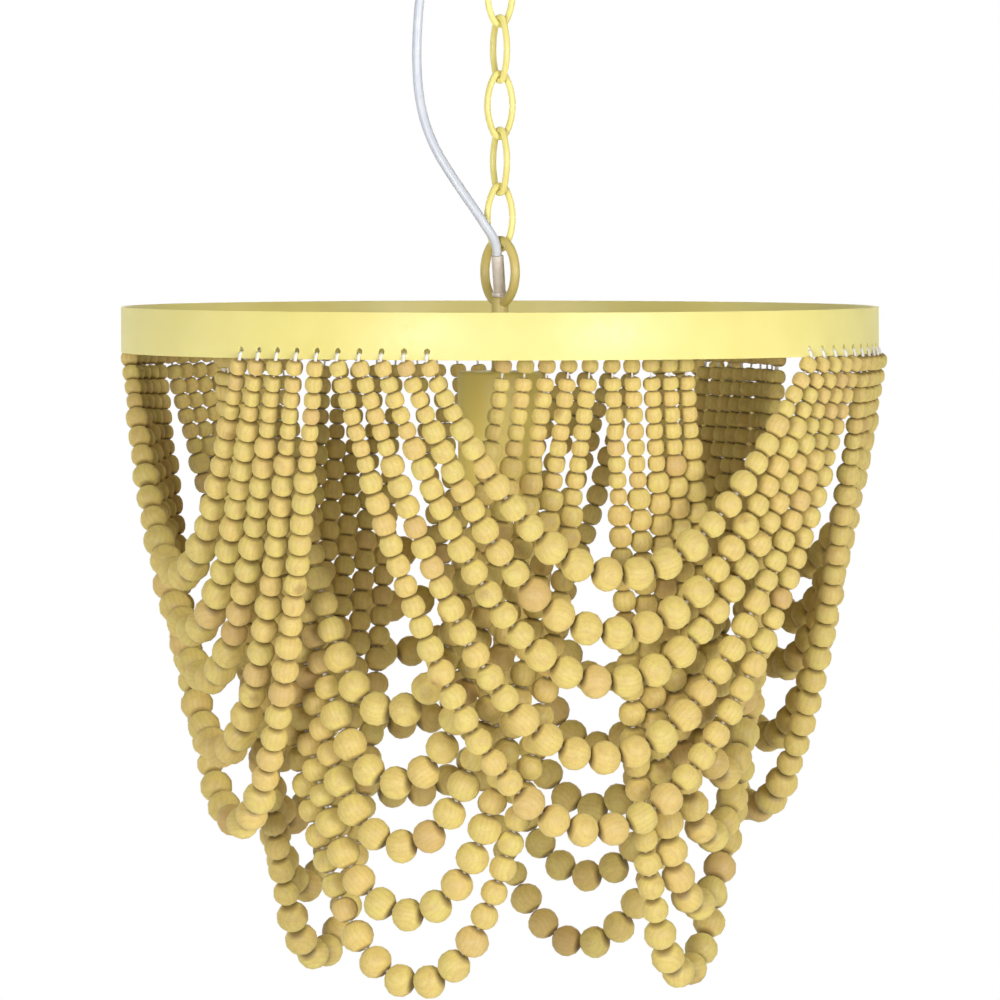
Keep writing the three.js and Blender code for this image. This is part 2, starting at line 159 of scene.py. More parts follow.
def linear(colour: str) -> tuple[float, float, float, float]:
    """Turns a six-digit colour as seen on a screen into the linear values that a shader takes.

    Args:
        colour: Six hexadecimal digits, red first.

    Returns:
        Linear red, green, blue and an alpha of 1.
    """
    shares = [int(colour[i : i + 2], 16) / 255 for i in (0, 2, 4)]
    values = [s / 12.92 if s <= 0.04045 else ((s + 0.055) / 1.055) ** 2.4 for s in shares]
    return (*values, 1.0)


# Modelling steps that the pieces share, done as by hand


def pick(*pieces: Object) -> None:
    """Selects these pieces alone and makes the first the active one."""
    active = bpy.context.view_layer.objects.active
    if active and active.mode != "OBJECT":
        bpy.ops.object.mode_set(mode="OBJECT")
    bpy.ops.object.select_all(action="DESELECT")
    for piece in pieces:
        piece.select_set(True)
    if pieces:
        bpy.context.view_layer.objects.active = pieces[0]


def edit(piece: Object, kind: Element) -> None:
    """Opens a piece in edit mode with nothing selected."""
    pick(piece)
    bpy.ops.object.mode_set(mode="EDIT")
    bpy.ops.mesh.select_mode(type=kind.value)
    bpy.ops.mesh.select_all(action="DESELECT")


def choose(piece: Object, kind: Element, test: Test) -> None:
    """Selects, in edit mode, the elements that pass a test.

    Args:
        piece: The piece in edit mode.
        kind: Points, edges or faces.
        test: Takes an element's middle, in millimetres.
    """
    bpy.ops.mesh.select_all(action="DESELECT")
    mesh = bmesh.from_edit_mesh(piece.data)
    elements = {Element.POINTS: mesh.verts, Element.EDGES: mesh.edges, Element.FACES: mesh.faces}
    for element in elements[kind]:
        points = [element] if kind is Element.POINTS else element.verts
        middle = sum((point.co for point in points), Vector()) / len(points)
        element.select_set(test(middle / MM))
    mesh.select_flush_mode()
    bmesh.update_edit_mesh(piece.data)


def close() -> None:
    """Leaves edit mode."""
    bpy.ops.object.mode_set(mode="OBJECT")


def apply(piece: Object, kind: str, **settings: object) -> None:
    """Adds one modifier and applies it.

    Args:
        piece: The piece.
        kind: The modifier's type.
        settings: Its own settings.
    """
    pick(piece)
    modifier = piece.modifiers.new(kind.lower(), kind)
    for name, value in settings.items():
        setattr(modifier, name, value)
    bpy.ops.object.modifier_apply(modifier=modifier.name)


def settle(piece: Object) -> Object:
    """Moves the piece's place, turn and scale into its mesh, and returns it."""
    pick(piece)
    bpy.ops.object.transform_apply(location=True, rotation=True, scale=True)
    return piece


def face_out(piece: Object) -> None:
    """Merges doubled points and turns every face outwards."""
    edit(piece, Element.POINTS)
    bpy.ops.mesh.select_all(action="SELECT")
    bpy.ops.mesh.remove_doubles(threshold=0.002 * MM)
    bpy.ops.mesh.normals_make_consistent(inside=False)
    close()


def join(pieces: Sequence[Object]) -> Object:
    """Joins pieces into the first of them and returns it."""
    pick(*pieces)
    if len(pieces) > 1:
        bpy.ops.object.join()
    return pieces[0]


def cut(piece: Object, tool: Object, operation: str = "DIFFERENCE") -> None:
    """Cuts a piece with a tool, joins both or keeps what they share, and removes the tool.

    Args:
        piece: The piece.
        tool: The tool piece.
        operation: DIFFERENCE, UNION or INTERSECT.
    """
    apply(piece, "BOOLEAN", operation=operation, solver="EXACT", object=tool)
    bpy.data.objects.remove(tool)


def ease(piece: Object, width: float, steps: int = 2, angle: float = 40) -> None:
    """Rounds the edges that are sharper than an angle.

    Args:
        piece: The piece.
        width: Width of the rounding, in millimetres.
        steps: Faces across it.
        angle: Degrees between two faces, above which their edge is rounded.
    """
    limit = math.radians(angle)
    apply(piece, "BEVEL", width=width * MM, segments=steps, limit_method="ANGLE", angle_limit=limit)


def smooth(piece: Object, angle: float = 32) -> Object:
    """Shades a piece smooth but for edges sharper than an angle, and returns it."""
    pick(piece)
    bpy.ops.object.shade_smooth_by_angle(angle=math.radians(angle))
    return piece


def copy(piece: Object, place: Matrix) -> Object:
    """Copies a piece with a mesh of its own.

    Args:
        piece: The piece.
        place: The matrix that moves the copy's mesh.

    Returns:
        The copy.
    """
    twin = piece.copy()
    twin.data = piece.data.copy()
    twin.data.transform(place)
    bpy.context.scene.collection.objects.link(twin)
    return twin


def turned(profile: Sequence[Pair], steps: int, foot: Sequence[float] = (0, 0)) -> Object:
    """Turns a profile about an upright axis.

    Args:
        profile: (radius, height) points in millimetres; the last repeats the first where it closes.
        steps: Faces round the axis.
        foot: Where the axis stands.

    Returns:
        The turned piece, facing out.
    """
    bpy.ops.mesh.primitive_plane_add(size=MM)
    piece = bpy.context.object
    edit(piece, Element.POINTS)
    bpy.ops.mesh.select_all(action="SELECT")
    bpy.ops.mesh.merge(type="CENTER")
    points = [metres((radius, 0, height)) for radius, height in profile]
    bpy.ops.transform.translate(value=points[0])
    for here, there in zip(points, points[1:]):
        bpy.ops.mesh.extrude_vertices_move(TRANSFORM_OT_translate={"value": there - here})
    bpy.ops.mesh.select_all(action="SELECT")
    bpy.ops.mesh.spin(steps=steps, angle=math.tau, center=(0, 0, 0), axis=(0, 0, 1))
    close()
    face_out(piece)
    piece.location = metres((*foot, 0))
    return settle(piece)


def wire(points: Sequence[Vector], radius: float, sides: int, shares: Sequence[float] = ()) -> Object:
    """Draws a round wire through points.

    Args:
        points: The wire's centreline, in millimetres.
        radius: The wire's radius, in millimetres.
        sides: Half the faces round it, less two.
        shares: The wire's thickness at each point, as a share, where it isn't even.

    Returns:
        The wire as a closed mesh.
    """
    curve = bpy.data.curves.new("wire", "CURVE")
    curve.dimensions = "3D"
    curve.bevel_depth = radius * MM
    curve.bevel_resolution = sides
    curve.use_fill_caps = True
    spline = curve.splines.new("POLY")
    spline.points.add(len(points) - 1)
    for spot, place, share in zip(spline.points, points, shares or [1.0] * len(points)):
        spot.co = (*metres(place), 1)
        spot.radius = share
    piece = bpy.data.objects.new("wire", curve)
    bpy.context.scene.collection.objects.link(piece)
    pick(piece)
    bpy.ops.object.convert(target="MESH")
    face_out(bpy.context.object)
    return bpy.context.object


def rod(start: Vector, end: Vector, radius: float, sides: int = 24) -> Object:
    """Places a round bar from one point to another.

    Args:
        start: The middle of its first end, in millimetres.
        end: The middle of its other end.
        radius: Its radius.
        sides: Faces round it.

    Returns:
        The bar.
    """
    along = end - start
    bpy.ops.mesh.primitive_cylinder_add(
        vertices=sides,
        radius=radius * MM,
        depth=along.length * MM,
        location=metres((start + end) / 2),
        rotation=along.to_track_quat("Z", "Y").to_euler(),
    )
    return settle(bpy.context.object)


def slab(size: Point, place: Iterable[float]) -> Object:
    """Places a block.

    Args:
        size: Its length in X, Y and Z, in millimetres.
        place: Its middle.

    Returns:
        The block.
    """
    bpy.ops.mesh.primitive_cube_add(size=1, location=metres(place))
    bpy.context.object.scale = metres(size)
    return settle(bpy.context.object)


# Finishes


class Tree:
    """A node tree under construction: one call for each node, with all that feeds it."""

    def __init__(self, tree: NodeTree) -> None:
        """Keeps the tree."""
        self.tree = tree

    def feed(self, socket: object, value: object) -> None:
        """Gives an input a plain value, or joins another node's output to it."""
        if isinstance(value, (int, float, tuple)):
            socket.default_value = value
        else:
            self.tree.links.new(value, socket)

    def node(self, kind: str, *feeds: tuple[object, object], **settings: object) -> Node:
        """Adds a node.

        Args:
            kind: The node's type.
            feeds: (input, value) pairs for its inputs.
            settings: The node's own settings.

        Returns:
            The node.
        """
        made = self.tree.nodes.new(kind)
        for name, value in settings.items():
            setattr(made, name, value)
        for socket, value in feeds:
            self.feed(made.inputs[socket], value)
        return made

    def between(self, share: object, one: object, other: object) -> object:
        """Returns one surface mixed with another by a share."""
        return self.node("ShaderNodeMixShader", (0, share), (1, one), (2, other)).outputs["Shader"]

    def to_camera(self) -> object:
        """Returns 1 for the camera's own rays and 0 for all others."""
        return self.node("ShaderNodeLightPath").outputs["Is Camera Ray"]


class Shader(Tree):
    """A material under construction."""

    def __init__(self, name: str) -> None:
        """Starts a material with its skin, the node that most of its looks go to."""
        self.material: Material = bpy.data.materials.new(name)
        self.material.use_nodes = True
        super().__init__(self.material.node_tree)
        self.skin: Node = self.tree.nodes["Principled BSDF"]

    @cached_property
    def place(self) -> object:
        """The piece's own coordinates, in metres."""
        return self.node("ShaderNodeTexCoord").outputs["Object"]

    def noise(self, place: object, scale: float, detail: float, rough: float = 0.5) -> object:
        """Returns a noise value over a place; the scale is spots to a unit of it."""
        feeds = (("Vector", place), ("Scale", scale), ("Detail", detail), ("Roughness", rough))
        return self.node("ShaderNodeTexNoise", *feeds).outputs["Fac"]

    def spread(self, value: object, old: Pair, new: Pair) -> object:
        """Returns a value moved from one range to another and held inside it."""
        feeds = zip(("Value", "From Min", "From Max", "To Min", "To Max"), (value, *old, *new))
        return self.node("ShaderNodeMapRange", *feeds).outputs["Result"]

    def mix(self, share: object, one: object, other: object) -> object:
        """Returns one colour mixed with another by a share."""
        feeds = ((0, share), (6, one), (7, other))
        return self.node("ShaderNodeMix", *feeds, data_type="RGBA").outputs[2]

    def clouds(self, scale: float, detail: float, colour: str, shade: str) -> object:
        """Colours the skin with soft clouds of a shade.

        Args:
            scale: Clouds to a metre.
            detail: How finely they break up.
            colour: The main colour.
            shade: The clouds' colour.

        Returns:
            The clouds, from 0 to 1.
        """
        cloud = self.spread(self.noise(self.place, scale, detail), (0.35, 0.65), (0, 1))
        self.set(Base_Color=self.mix(cloud, linear(colour), linear(shade)))
        return cloud

    def ramp(self, value: object, stops: Sequence[tuple[float, str]]) -> object:
        """Colours a value by a ramp.

        Args:
            value: The value.
            stops: (place, colour) stops, from 0 up.

        Returns:
            The colour.
        """
        made = self.node("ShaderNodeValToRGB", ("Fac", value))
        bar = made.color_ramp.elements
        while len(bar) < len(stops):
            bar.new(1.0)
        for stop, (place, colour) in zip(bar, stops):
            stop.position = place
            stop.color = linear(colour)
        return made.outputs["Color"]

    def bump(self, height: object, strength: float, depth: float) -> object:
        """Returns a normal raised by a height; the depth is in millimetres."""
        feeds = (("Strength", strength), ("Distance", depth * MM), ("Height", height))
        return self.node("ShaderNodeBump", *feeds).outputs["Normal"]

    def set(self, **values: object) -> None:
        """Feeds the skin's inputs by name, with _ for a space."""
        for name, value in values.items():
            self.feed(self.skin.inputs[name.replace("_", " ")], value)


@dataclass(frozen=True)
class Paint:
    """Sprayed satin enamel: an even warm coat whose fine orange peel breaks up the highlights."""

    name: str
    colour: str
    shade: str
    roughness: float
    chalk: float = 0.2
    peel: float = 0.16

    def build(self) -> Material:
        """Returns the paint as a material."""
        shader = Shader(self.name)
        # The coat is a little thicker in some places, which the eye takes as a faint cloudiness.
        shader.clouds(28, 2, self.colour, self.shade)
        # The peel of the sprayed film is about a millimetre from crest to crest.
        film = shader.noise(shader.place, 900, 2, 0.45)
        worn = shader.noise(shader.place, 260, 3)
        dull = shader.spread(worn, (0.3, 0.7), (self.roughness - 0.04, self.roughness + 0.05))
        shader.set(Normal=shader.bump(film, self.peel, 0.05), Roughness=dull)
        # A chalky film scatters light back towards the lamps, so a round band looks nearly flat.
        shader.set(Diffuse_Roughness=self.chalk, Specular_IOR_Level=1.0)
        return shader.material


@dataclass(frozen=True)
class Wood:
    """Pale turned wood under a thin matt wax: each bead has its own tone, fine rings and pores."""

    name: str = "pale_wood"
    # Most beads are straw, greener or redder by a shade, and a few are tan.
    tones: tuple[tuple[float, str], ...] = (
        (0.0, "E3D57E"),
        (0.5, "E5D37C"),
        (0.88, "E6CF7E"),
        (0.97, "E2C880"),
        (1.0, "D2B26F"),
    )
    heartwood: str = "DCC17A"
    growth_ring: str = "C4A25A"
    pore: str = "A98745"
    knot: str = "A67C42"
    # The ends' dark brown is end grain and also painted shade of the bead joints.
    end_grain_and_joint_shade: str = "7A5A26"
    timber: Point = (3700, 9100, 5300)

    def build(self) -> Material:
        """Returns the wood as a material that reads each bead's own place, tone and ends."""
        shader = Shader(self.name)
        own = shader.node("ShaderNodeAttribute", attribute_name="bead_place").outputs["Vector"]
        tone = shader.node("ShaderNodeAttribute", attribute_name="bead_tone").outputs["Fac"]
        end = shader.node("ShaderNodeAttribute", attribute_name="bead_end").outputs["Fac"]
        # The tone moves each bead to a place of its own in the timber.
        moves = ((0, tone), (1, self.timber), (2, own))
        moved = shader.node("ShaderNodeVectorMath", *moves, operation="MULTIPLY_ADD")
        place = moved.outputs["Vector"]
        # Soft clouds of heartwood, some 6 mm wide.
        cloud = shader.spread(shader.noise(place, 0.16, 3), (0.38, 0.66), (0, 0.6))
        colour = shader.mix(cloud, shader.ramp(tone, self.tones), linear(self.heartwood))
        # Growth rings cut the bead as faint lines along its bore.
        form = (("Scale", 0.11), ("Distortion", 3.5), ("Detail", 2), ("Detail Scale", 0.3))
        waves = (("Vector", place), *form)
        rings = shader.node("ShaderNodeTexWave", *waves, wave_type="BANDS", bands_direction="X")
        line = shader.spread(rings.outputs["Fac"], (0.5, 1.0), (0, 0.16))
        colour = shader.mix(line, colour, linear(self.growth_ring))
        # Pores are short dark flecks, stretched along the grain.
        long = shader.node("ShaderNodeMapping", ("Vector", place), ("Scale", (2.2, 2.2, 0.5)))
        pores = shader.noise(long.outputs["Vector"], 1.1, 2, 0.6)
        fleck = shader.spread(pores, (0.56, 0.72), (0, 0.5))
        colour = shader.mix(fleck, colour, linear(self.pore))
        # A knot sits in about one bead of twelve, with a broken edge.
        knots = shader.node("ShaderNodeTexVoronoi", ("Vector", place), ("Scale", 0.024))
        breaks = ((0, pores), (1, -0.12), (2, knots.outputs["Distance"]))
        ragged = shader.node("ShaderNodeMath", *breaks, operation="MULTIPLY_ADD")
        knot = shader.spread(ragged.outputs["Value"], (0.0, 0.08), (0.55, 0))
        colour = shader.mix(knot, colour, linear(self.knot))
        # End grain round the bore drinks more wax and is darker; the strong dark brown at the ends is also
        # painted shade, standing in for the shade in the joints between touching beads.
        bore = shader.spread(end, (0.8, 1.0), (0, 0.8))
        shader.set(Base_Color=shader.mix(bore, colour, linear(self.end_grain_and_joint_shade)))
        rough = shader.spread(pores, (0.3, 0.7), (0.48, 0.6))
        shader.set(Roughness=rough, Normal=shader.bump(pores, 0.25, 0.12))
        # Sanded fibres scatter light back, so a bead looks flat; the wax pales its lit side.
        shader.set(Diffuse_Roughness=0.9, Specular_IOR_Level=0.8)
        return shader.material


@dataclass(frozen=True)
class Thread:
    """Twisted white thread: soft, bright and fibrous."""

    name: str = "white_thread"
    shades: tuple[tuple[float, str], ...] = ((0.3, "E8E5DA"), (0.55, "FBFAF5"))

    def build(self) -> Material:
        """Returns the thread as a material."""
        shader = Shader(self.name)
        fuzz = shader.noise(shader.place, 2400, 3, 0.7)
        shader.set(Base_Color=shader.ramp(fuzz, self.shades), Normal=shader.bump(fuzz, 0.6, 0.15))
        shader.set(Roughness=0.85, Specular_IOR_Level=0.2)
        return shader.material


@dataclass(frozen=True)
class Plastic:
    """Smooth plastic: an even body, faintly clouded, under a gloss that differs from piece to piece."""

    name: str
    colour: str
    shade: str
    roughness: float
    coat: float = 0.0

    def build(self) -> Material:
        """Returns the plastic as a material."""
        shader = Shader(self.name)
        shader.clouds(120, 2, self.colour, self.shade)
        # The skin of extruded plastic waves a little, some 4 mm from crest to crest.
        wave = shader.noise(shader.place, 260, 1)
        dull = shader.spread(wave, (0.3, 0.7), (self.roughness - 0.04, self.roughness + 0.04))
        shader.set(Normal=shader.bump(wave, 0.06, 0.05), Roughness=dull)
        shader.set(Coat_Weight=self.coat, Coat_Roughness=0.15)
        return shader.material


@dataclass(frozen=True)
class Brass:
    """Thin rolled brass: warm metal with faint rubbed patches."""

    name: str = "rolled_brass"
    colour: str = "D9B65C"
    rubbed: str = "B98F3C"

    def build(self) -> Material:
        """Returns the brass as a material."""
        shader = Shader(self.name)
        rub = shader.clouds(220, 4, self.colour, self.rubbed)
        shader.set(Roughness=shader.spread(rub, (0, 1), (0.24, 0.4)), Metallic=1.0)
        return shader.material


@dataclass(frozen=True)
class Finish:
    """A material and the slot that it stands for."""

    material: Material
    slot: Slot


@dataclass(frozen=True)
class Finishes:
    """All the finishes of the chandelier."""

    frame: Finish
    chain: Finish
    loop: Finish
    holder: Finish
    wood: Finish
    thread: Finish
    sleeve: Finish
    sheath: Finish
    socket: Finish
    brass: Finish

    @classmethod
    def build(cls) -> "Finishes":
        """Returns every finish, made once."""
        plans = {
            "frame": (Paint("frame_enamel", "F1E897", "EDE38E", 0.45, 1.0), Slot.FRAME_PAINT),
            "chain": (Paint("chain_enamel", "F9F19C", "F4E990", 0.4, 0.9), Slot.CHAIN_PAINT),
            "loop": (Paint("loop_enamel", "EDDA84", "E5D17A", 0.45), Slot.LOOP_PAINT),
            # The holder's cup has the loop's paint, but its colour is painted brighter than the loop's:
            # painted light on the cup deep among the strands.
            "holder": (Paint("holder_enamel", "FBEB88", "F6E47F", 0.5, 0.9), Slot.LOOP_PAINT),
            "wood": (Wood(), Slot.WOOD_BEAD),
            "thread": (Thread(), Slot.WOOD_BEAD),
            "sleeve": (Plastic("sleeve_plastic", "F4EBE2", "ECE2D7", 0.3, 0.3), Slot.CLEAR_SLEEVE),
            "sheath": (Plastic("cord_plastic", "E2E8F3", "D9E0EF", 0.3), Slot.CORD_SHEATH),
            "socket": (Plastic("socket_plastic_white", "ECEAE4", "E2DFD6", 0.45), Slot.SOCKET_PLASTIC),
            "brass": (Brass(), Slot.SHELL_BRASS),
        }
        return cls(**{name: Finish(plan.build(), slot) for name, (plan, slot) in plans.items()})


def hand_over(piece: Object, name: str, body: Body, finish: Finish, *nodes: str) -> None:
    """Names and dresses a finished piece and sets it on its body.

    Args:
        piece: The piece, with its place in its mesh.
        name: The piece's name.
        body: The body that it rides on.
        finish: Its finish.
        nodes: The solids that it stands for.
    """
    piece.name = name
    piece.data.name = name
    piece.data.materials.clear()
    piece.data.materials.append(finish.material)
    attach(piece, body.value)
    if nodes:
        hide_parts(*nodes)
    log.info("%s: %d faces on %s", name, len(piece.data.polygons), body.value)


@dataclass(frozen=True)
class Shared:
    """Heights from the ceiling down, and sizes, that several sub-assemblies share."""

    touch_gap: float = 0.3
    plate: float = 3
    cup_height: float = 28
    hook_centre: float = -53.4
    first_link: float = -78.65
    link_pitch: float = 33.3
    chain_turn: float = -81.5
    loop_centre: float = -244.15
    stem_top: float = -259.15
    stem_radius: float = 5
    stem_in_holder: float = 6
    band_top: float = -264.55
    band_bottom: float = -291.55
    band_radius: float = 225
    ring_radius: float = 164.4975
    strip: float = 1.5
    hole_rise: float = 4.7
    arm_top: float = -276.55
    arm_thickness: float = 3
    holder_top: float = -303.15
    holder_bottom: float = -378.55
    gland_distance: float = 34
    gland_angle: float = 165
    gland_length: float = 16
    grip_lean: float = 5.6
    grip_lean_turn: float = 45
    grip_height: float = 24.8

    @property
    def hole(self) -> float:
        """The height of the strands' holes."""
        return self.band_bottom + self.hole_rise

    @property
    def arm_bottom(self) -> float:
        """The height of the arms' underside."""
        return self.arm_top - self.arm_thickness

    @property
    def grip_end(self) -> Vector:
        """The point where the cord leaves its sleeve."""
        turn = self.chain_turn - self.grip_lean_turn
        return around_axis(self.grip_lean, turn, self.stem_top + self.grip_height)


SHARED = Shared()


@dataclass(frozen=True)
class CeilingFitting:
    """The plate, the cup that hides it, the cord's gland and the hook."""

    finishes: Finishes
    plate_radius: float = 32
    keyhole_place: float = 0.6
    keyhole_radius: float = 4.2
    keyhole_neck: float = 4.4
    keyhole_length: float = 16
    cup_radius: float = 50
    cup_wall: float = 1.2
    cup_corner: float = 8
    gland_neck: float = 4
    gland_tip: float = 3.4
    gland_ribs: int = 5
    rib_depth: float = 0.5
    flange_radius: float = 6.5
    flange_height: float = 3
    flange_edge: float = 0.4
    hook_wire: float = 4.5
    hook_bend: float = 11
    hook_end: float = -210

    def build(self) -> None:
        """Builds and dresses all four pieces."""
        self.plate()
        self.cup()
        self.gland()
        self.hook()

    def plate(self) -> None:
        """A disc with two keyhole slots for the screws."""
        wide, thick = self.plate_radius, SHARED.plate
        disc = turned([(0, -thick), (wide, -thick), (wide, 0), (0, 0)], 72)
        neck = (self.keyhole_length, self.keyhole_neck, 2 * OVERRUN)
        for side in (-1, 1):
            middle = Vector((0, side * wide * self.keyhole_place, 0))
            cut(disc, rod(middle - axis(OVERRUN), middle + axis(OVERRUN), self.keyhole_radius))
            cut(disc, slab(neck, (side * self.keyhole_length / 2, middle.y, 0)))
        ease(disc, 0.3)
        smooth(disc)
        hand_over(disc, "ceiling_disc", Body.CEILING, self.finishes.frame, "ceiling_plate")

    def cup(self) -> None:
        """A shallow spun cup with a rounded corner and a rolled rim."""
        bore = self.hook_wire / 2 + SHARED.touch_gap
        under = -SHARED.cup_height
        corner = (self.cup_radius - self.cup_corner, self.cup_corner + under)
        profile = [
            (bore, under),
            *arc(corner, self.cup_corner, -90, 0, 10),
            (self.cup_radius, 0),
            (self.cup_radius - self.cup_wall, 0),
            *arc(corner, self.cup_corner - self.cup_wall, 0, -90, 10),
            (bore, under + self.cup_wall),
            (bore, under),
        ]
        cup = turned(profile, 128)
        place = around_axis(SHARED.gland_distance, SHARED.gland_angle, under)
        hole = self.gland_neck + SHARED.touch_gap
        cut(cup, rod(place - axis(OVERRUN), place + axis(OVERRUN), hole))
        ease(cup, 0.25)
        smooth(cup)
        hand_over(cup, "ceiling_canopy", Body.CEILING, self.finishes.frame, "ceiling_cup")

    def gland(self) -> None:
        """The cord's strain relief: a flange and a tapered, ribbed nose."""
        tip, neck, flange = self.gland_tip, self.gland_neck, self.flange_radius
        rib, edge = self.rib_depth, self.flange_edge
        under = -SHARED.cup_height - SHARED.touch_gap
        foot = -SHARED.cup_height - SHARED.gland_length
        top = under - self.flange_height
        inside = self.cup_wall - SHARED.cup_height + SHARED.touch_gap
        profile: list[Pair] = [(0, foot), (tip - rib, foot), (tip, foot + rib)]
        rise = (top - foot - 2 * rib) / self.gland_ribs
        for number in range(self.gland_ribs):
            base = foot + rib + number * rise
            grown = tip + (neck - tip) * (number + 1) / self.gland_ribs
            for share, depth in ((0.55, 0), (0.62, rib), (0.95, rib)):
                profile.append((grown - depth, base + rise * share))
        profile += [(neck, top), (flange - rib, top), (flange, top + rib), (flange, under - edge)]
        profile += [(flange - edge, under), (neck, under), (neck, inside), (0, inside)]
        place = around_axis(SHARED.gland_distance, SHARED.gland_angle)
        gland = smooth(turned(profile, 40, place.xy))
        hand_over(gland, "cord_inlet", Body.CEILING, self.finishes.sleeve, "cord_gland")

    def hook(self) -> None:
        """A bent wire hook: a straight shank, a curve out to the side and the bend."""
        centre, bend = SHARED.hook_centre, self.hook_bend
        shank = centre + bend + self.hook_wire
        half = (shank - centre) / 2
        flat = [(0, -SHARED.plate - SHARED.touch_gap), (0, (shank - SHARED.plate) / 2)]
        curve = ((0, shank), (0, shank - half), (bend, centre + half), (bend, centre))
        flat += [tuple(point)[:2] for point in interpolate_bezier(*map(Vector, curve), 9)]
        flat += arc((0, centre), bend, -10, self.hook_end, 20)
        points = [around_axis(across, SHARED.chain_turn, height) for across, height in flat]
        hook = wire(points, self.hook_wire / 2, 6)
        ease(hook, 0.6, angle=60)
        smooth(hook, 40)
        hand_over(hook, "wire_hook", Body.CEILING, self.finishes.chain, "ceiling_hook")


@dataclass(frozen=True)
class Chain:
    """Five oval wire links, each with the seam where its wire was closed."""

    finishes: Finishes
    count: int = 5
    length: float = 41.4
    width: float = 21
    wire: float = 3.9
    end_radius: float = 5
    seam: float = 0.3
    seam_depth: float = 0.5
    sections: int = 48

    def build(self) -> None:
        """Models one link, and sets a turned copy of it in each link's place."""
        link = self.model_link()
        upright = Matrix.Rotation(math.pi / 2, 4, "X")
        for number in range(1, self.count + 1):
            turn = math.radians(SHARED.chain_turn + (90 if number % 2 else 0))
            height = SHARED.first_link - (number - 1) * SHARED.link_pitch
            place = Matrix.Translation(metres(axis(height)))
            twin = copy(link, place @ Matrix.Rotation(turn, 4, "Z") @ upright)
            name, node = f"oval_link_{number}", f"chain_link_{number}"
            hand_over(twin, name, Body(f"link_{number}"), self.finishes.chain, node)
        bpy.data.objects.remove(link)

    def centreline(self, angle: float) -> Vector:
        """Returns the wire's middle where the link faces an angle: small arcs at both ends."""
        half_width = (self.width - self.wire) / 2
        end_centre = (self.length - self.wire) / 2 - self.end_radius
        spread = half_width**2 + end_centre**2 - self.end_radius**2
        side_radius = spread / (2 * (half_width - self.end_radius))
        side_centre = side_radius - half_width
        facing = Vector((math.cos(angle), math.sin(angle), 0))
        if abs(facing.y) * side_centre > abs(facing.x) * end_centre:
            return facing * self.end_radius + Vector((0, math.copysign(end_centre, facing.y), 0))
        return facing * side_radius - Vector((math.copysign(side_centre, facing.x), 0, 0))

    def model_link(self) -> Object:
        """Returns one link in the XY plane, long in Y: a ring whose sections are moved to an oval."""
        bend = (self.width - self.wire) / 2
        bpy.ops.mesh.primitive_torus_add(
            major_segments=self.sections,
            minor_segments=16,
            major_radius=bend * MM,
            minor_radius=self.wire / 2 * MM,
        )
        link = bpy.context.object
        edit(link, Element.POINTS)
        mesh = bmesh.from_edit_mesh(link.data)
        turns = {point: math.atan2(point.co.y, point.co.x) for point in mesh.verts}
        for i in range(self.sections):
            turn = math.tau * i / self.sections
            middle = Vector((math.cos(turn), math.sin(turn), 0)) * bend
            for point in mesh.verts:
                point.select_set(math.cos(turns[point] - turn) > 0.9999)
            bpy.ops.transform.translate(value=metres(self.centreline(turn) - middle))
        close()
        edit(link, Element.EDGES)
        choose(link, Element.EDGES, lambda place: abs(place.y) < 0.01 and place.x > 0)
        bpy.ops.mesh.bevel(offset=self.seam * MM, segments=1, affect="EDGES")
        close()
        edit(link, Element.FACES)
        choose(link, Element.FACES, lambda place: abs(place.y) < 0.1 and place.x > 0)
        sunk = {"value": -self.seam_depth * MM}
        bpy.ops.mesh.extrude_region_shrink_fatten(TRANSFORM_OT_shrink_fatten=sunk)
        close()
        return smooth(link, 45)


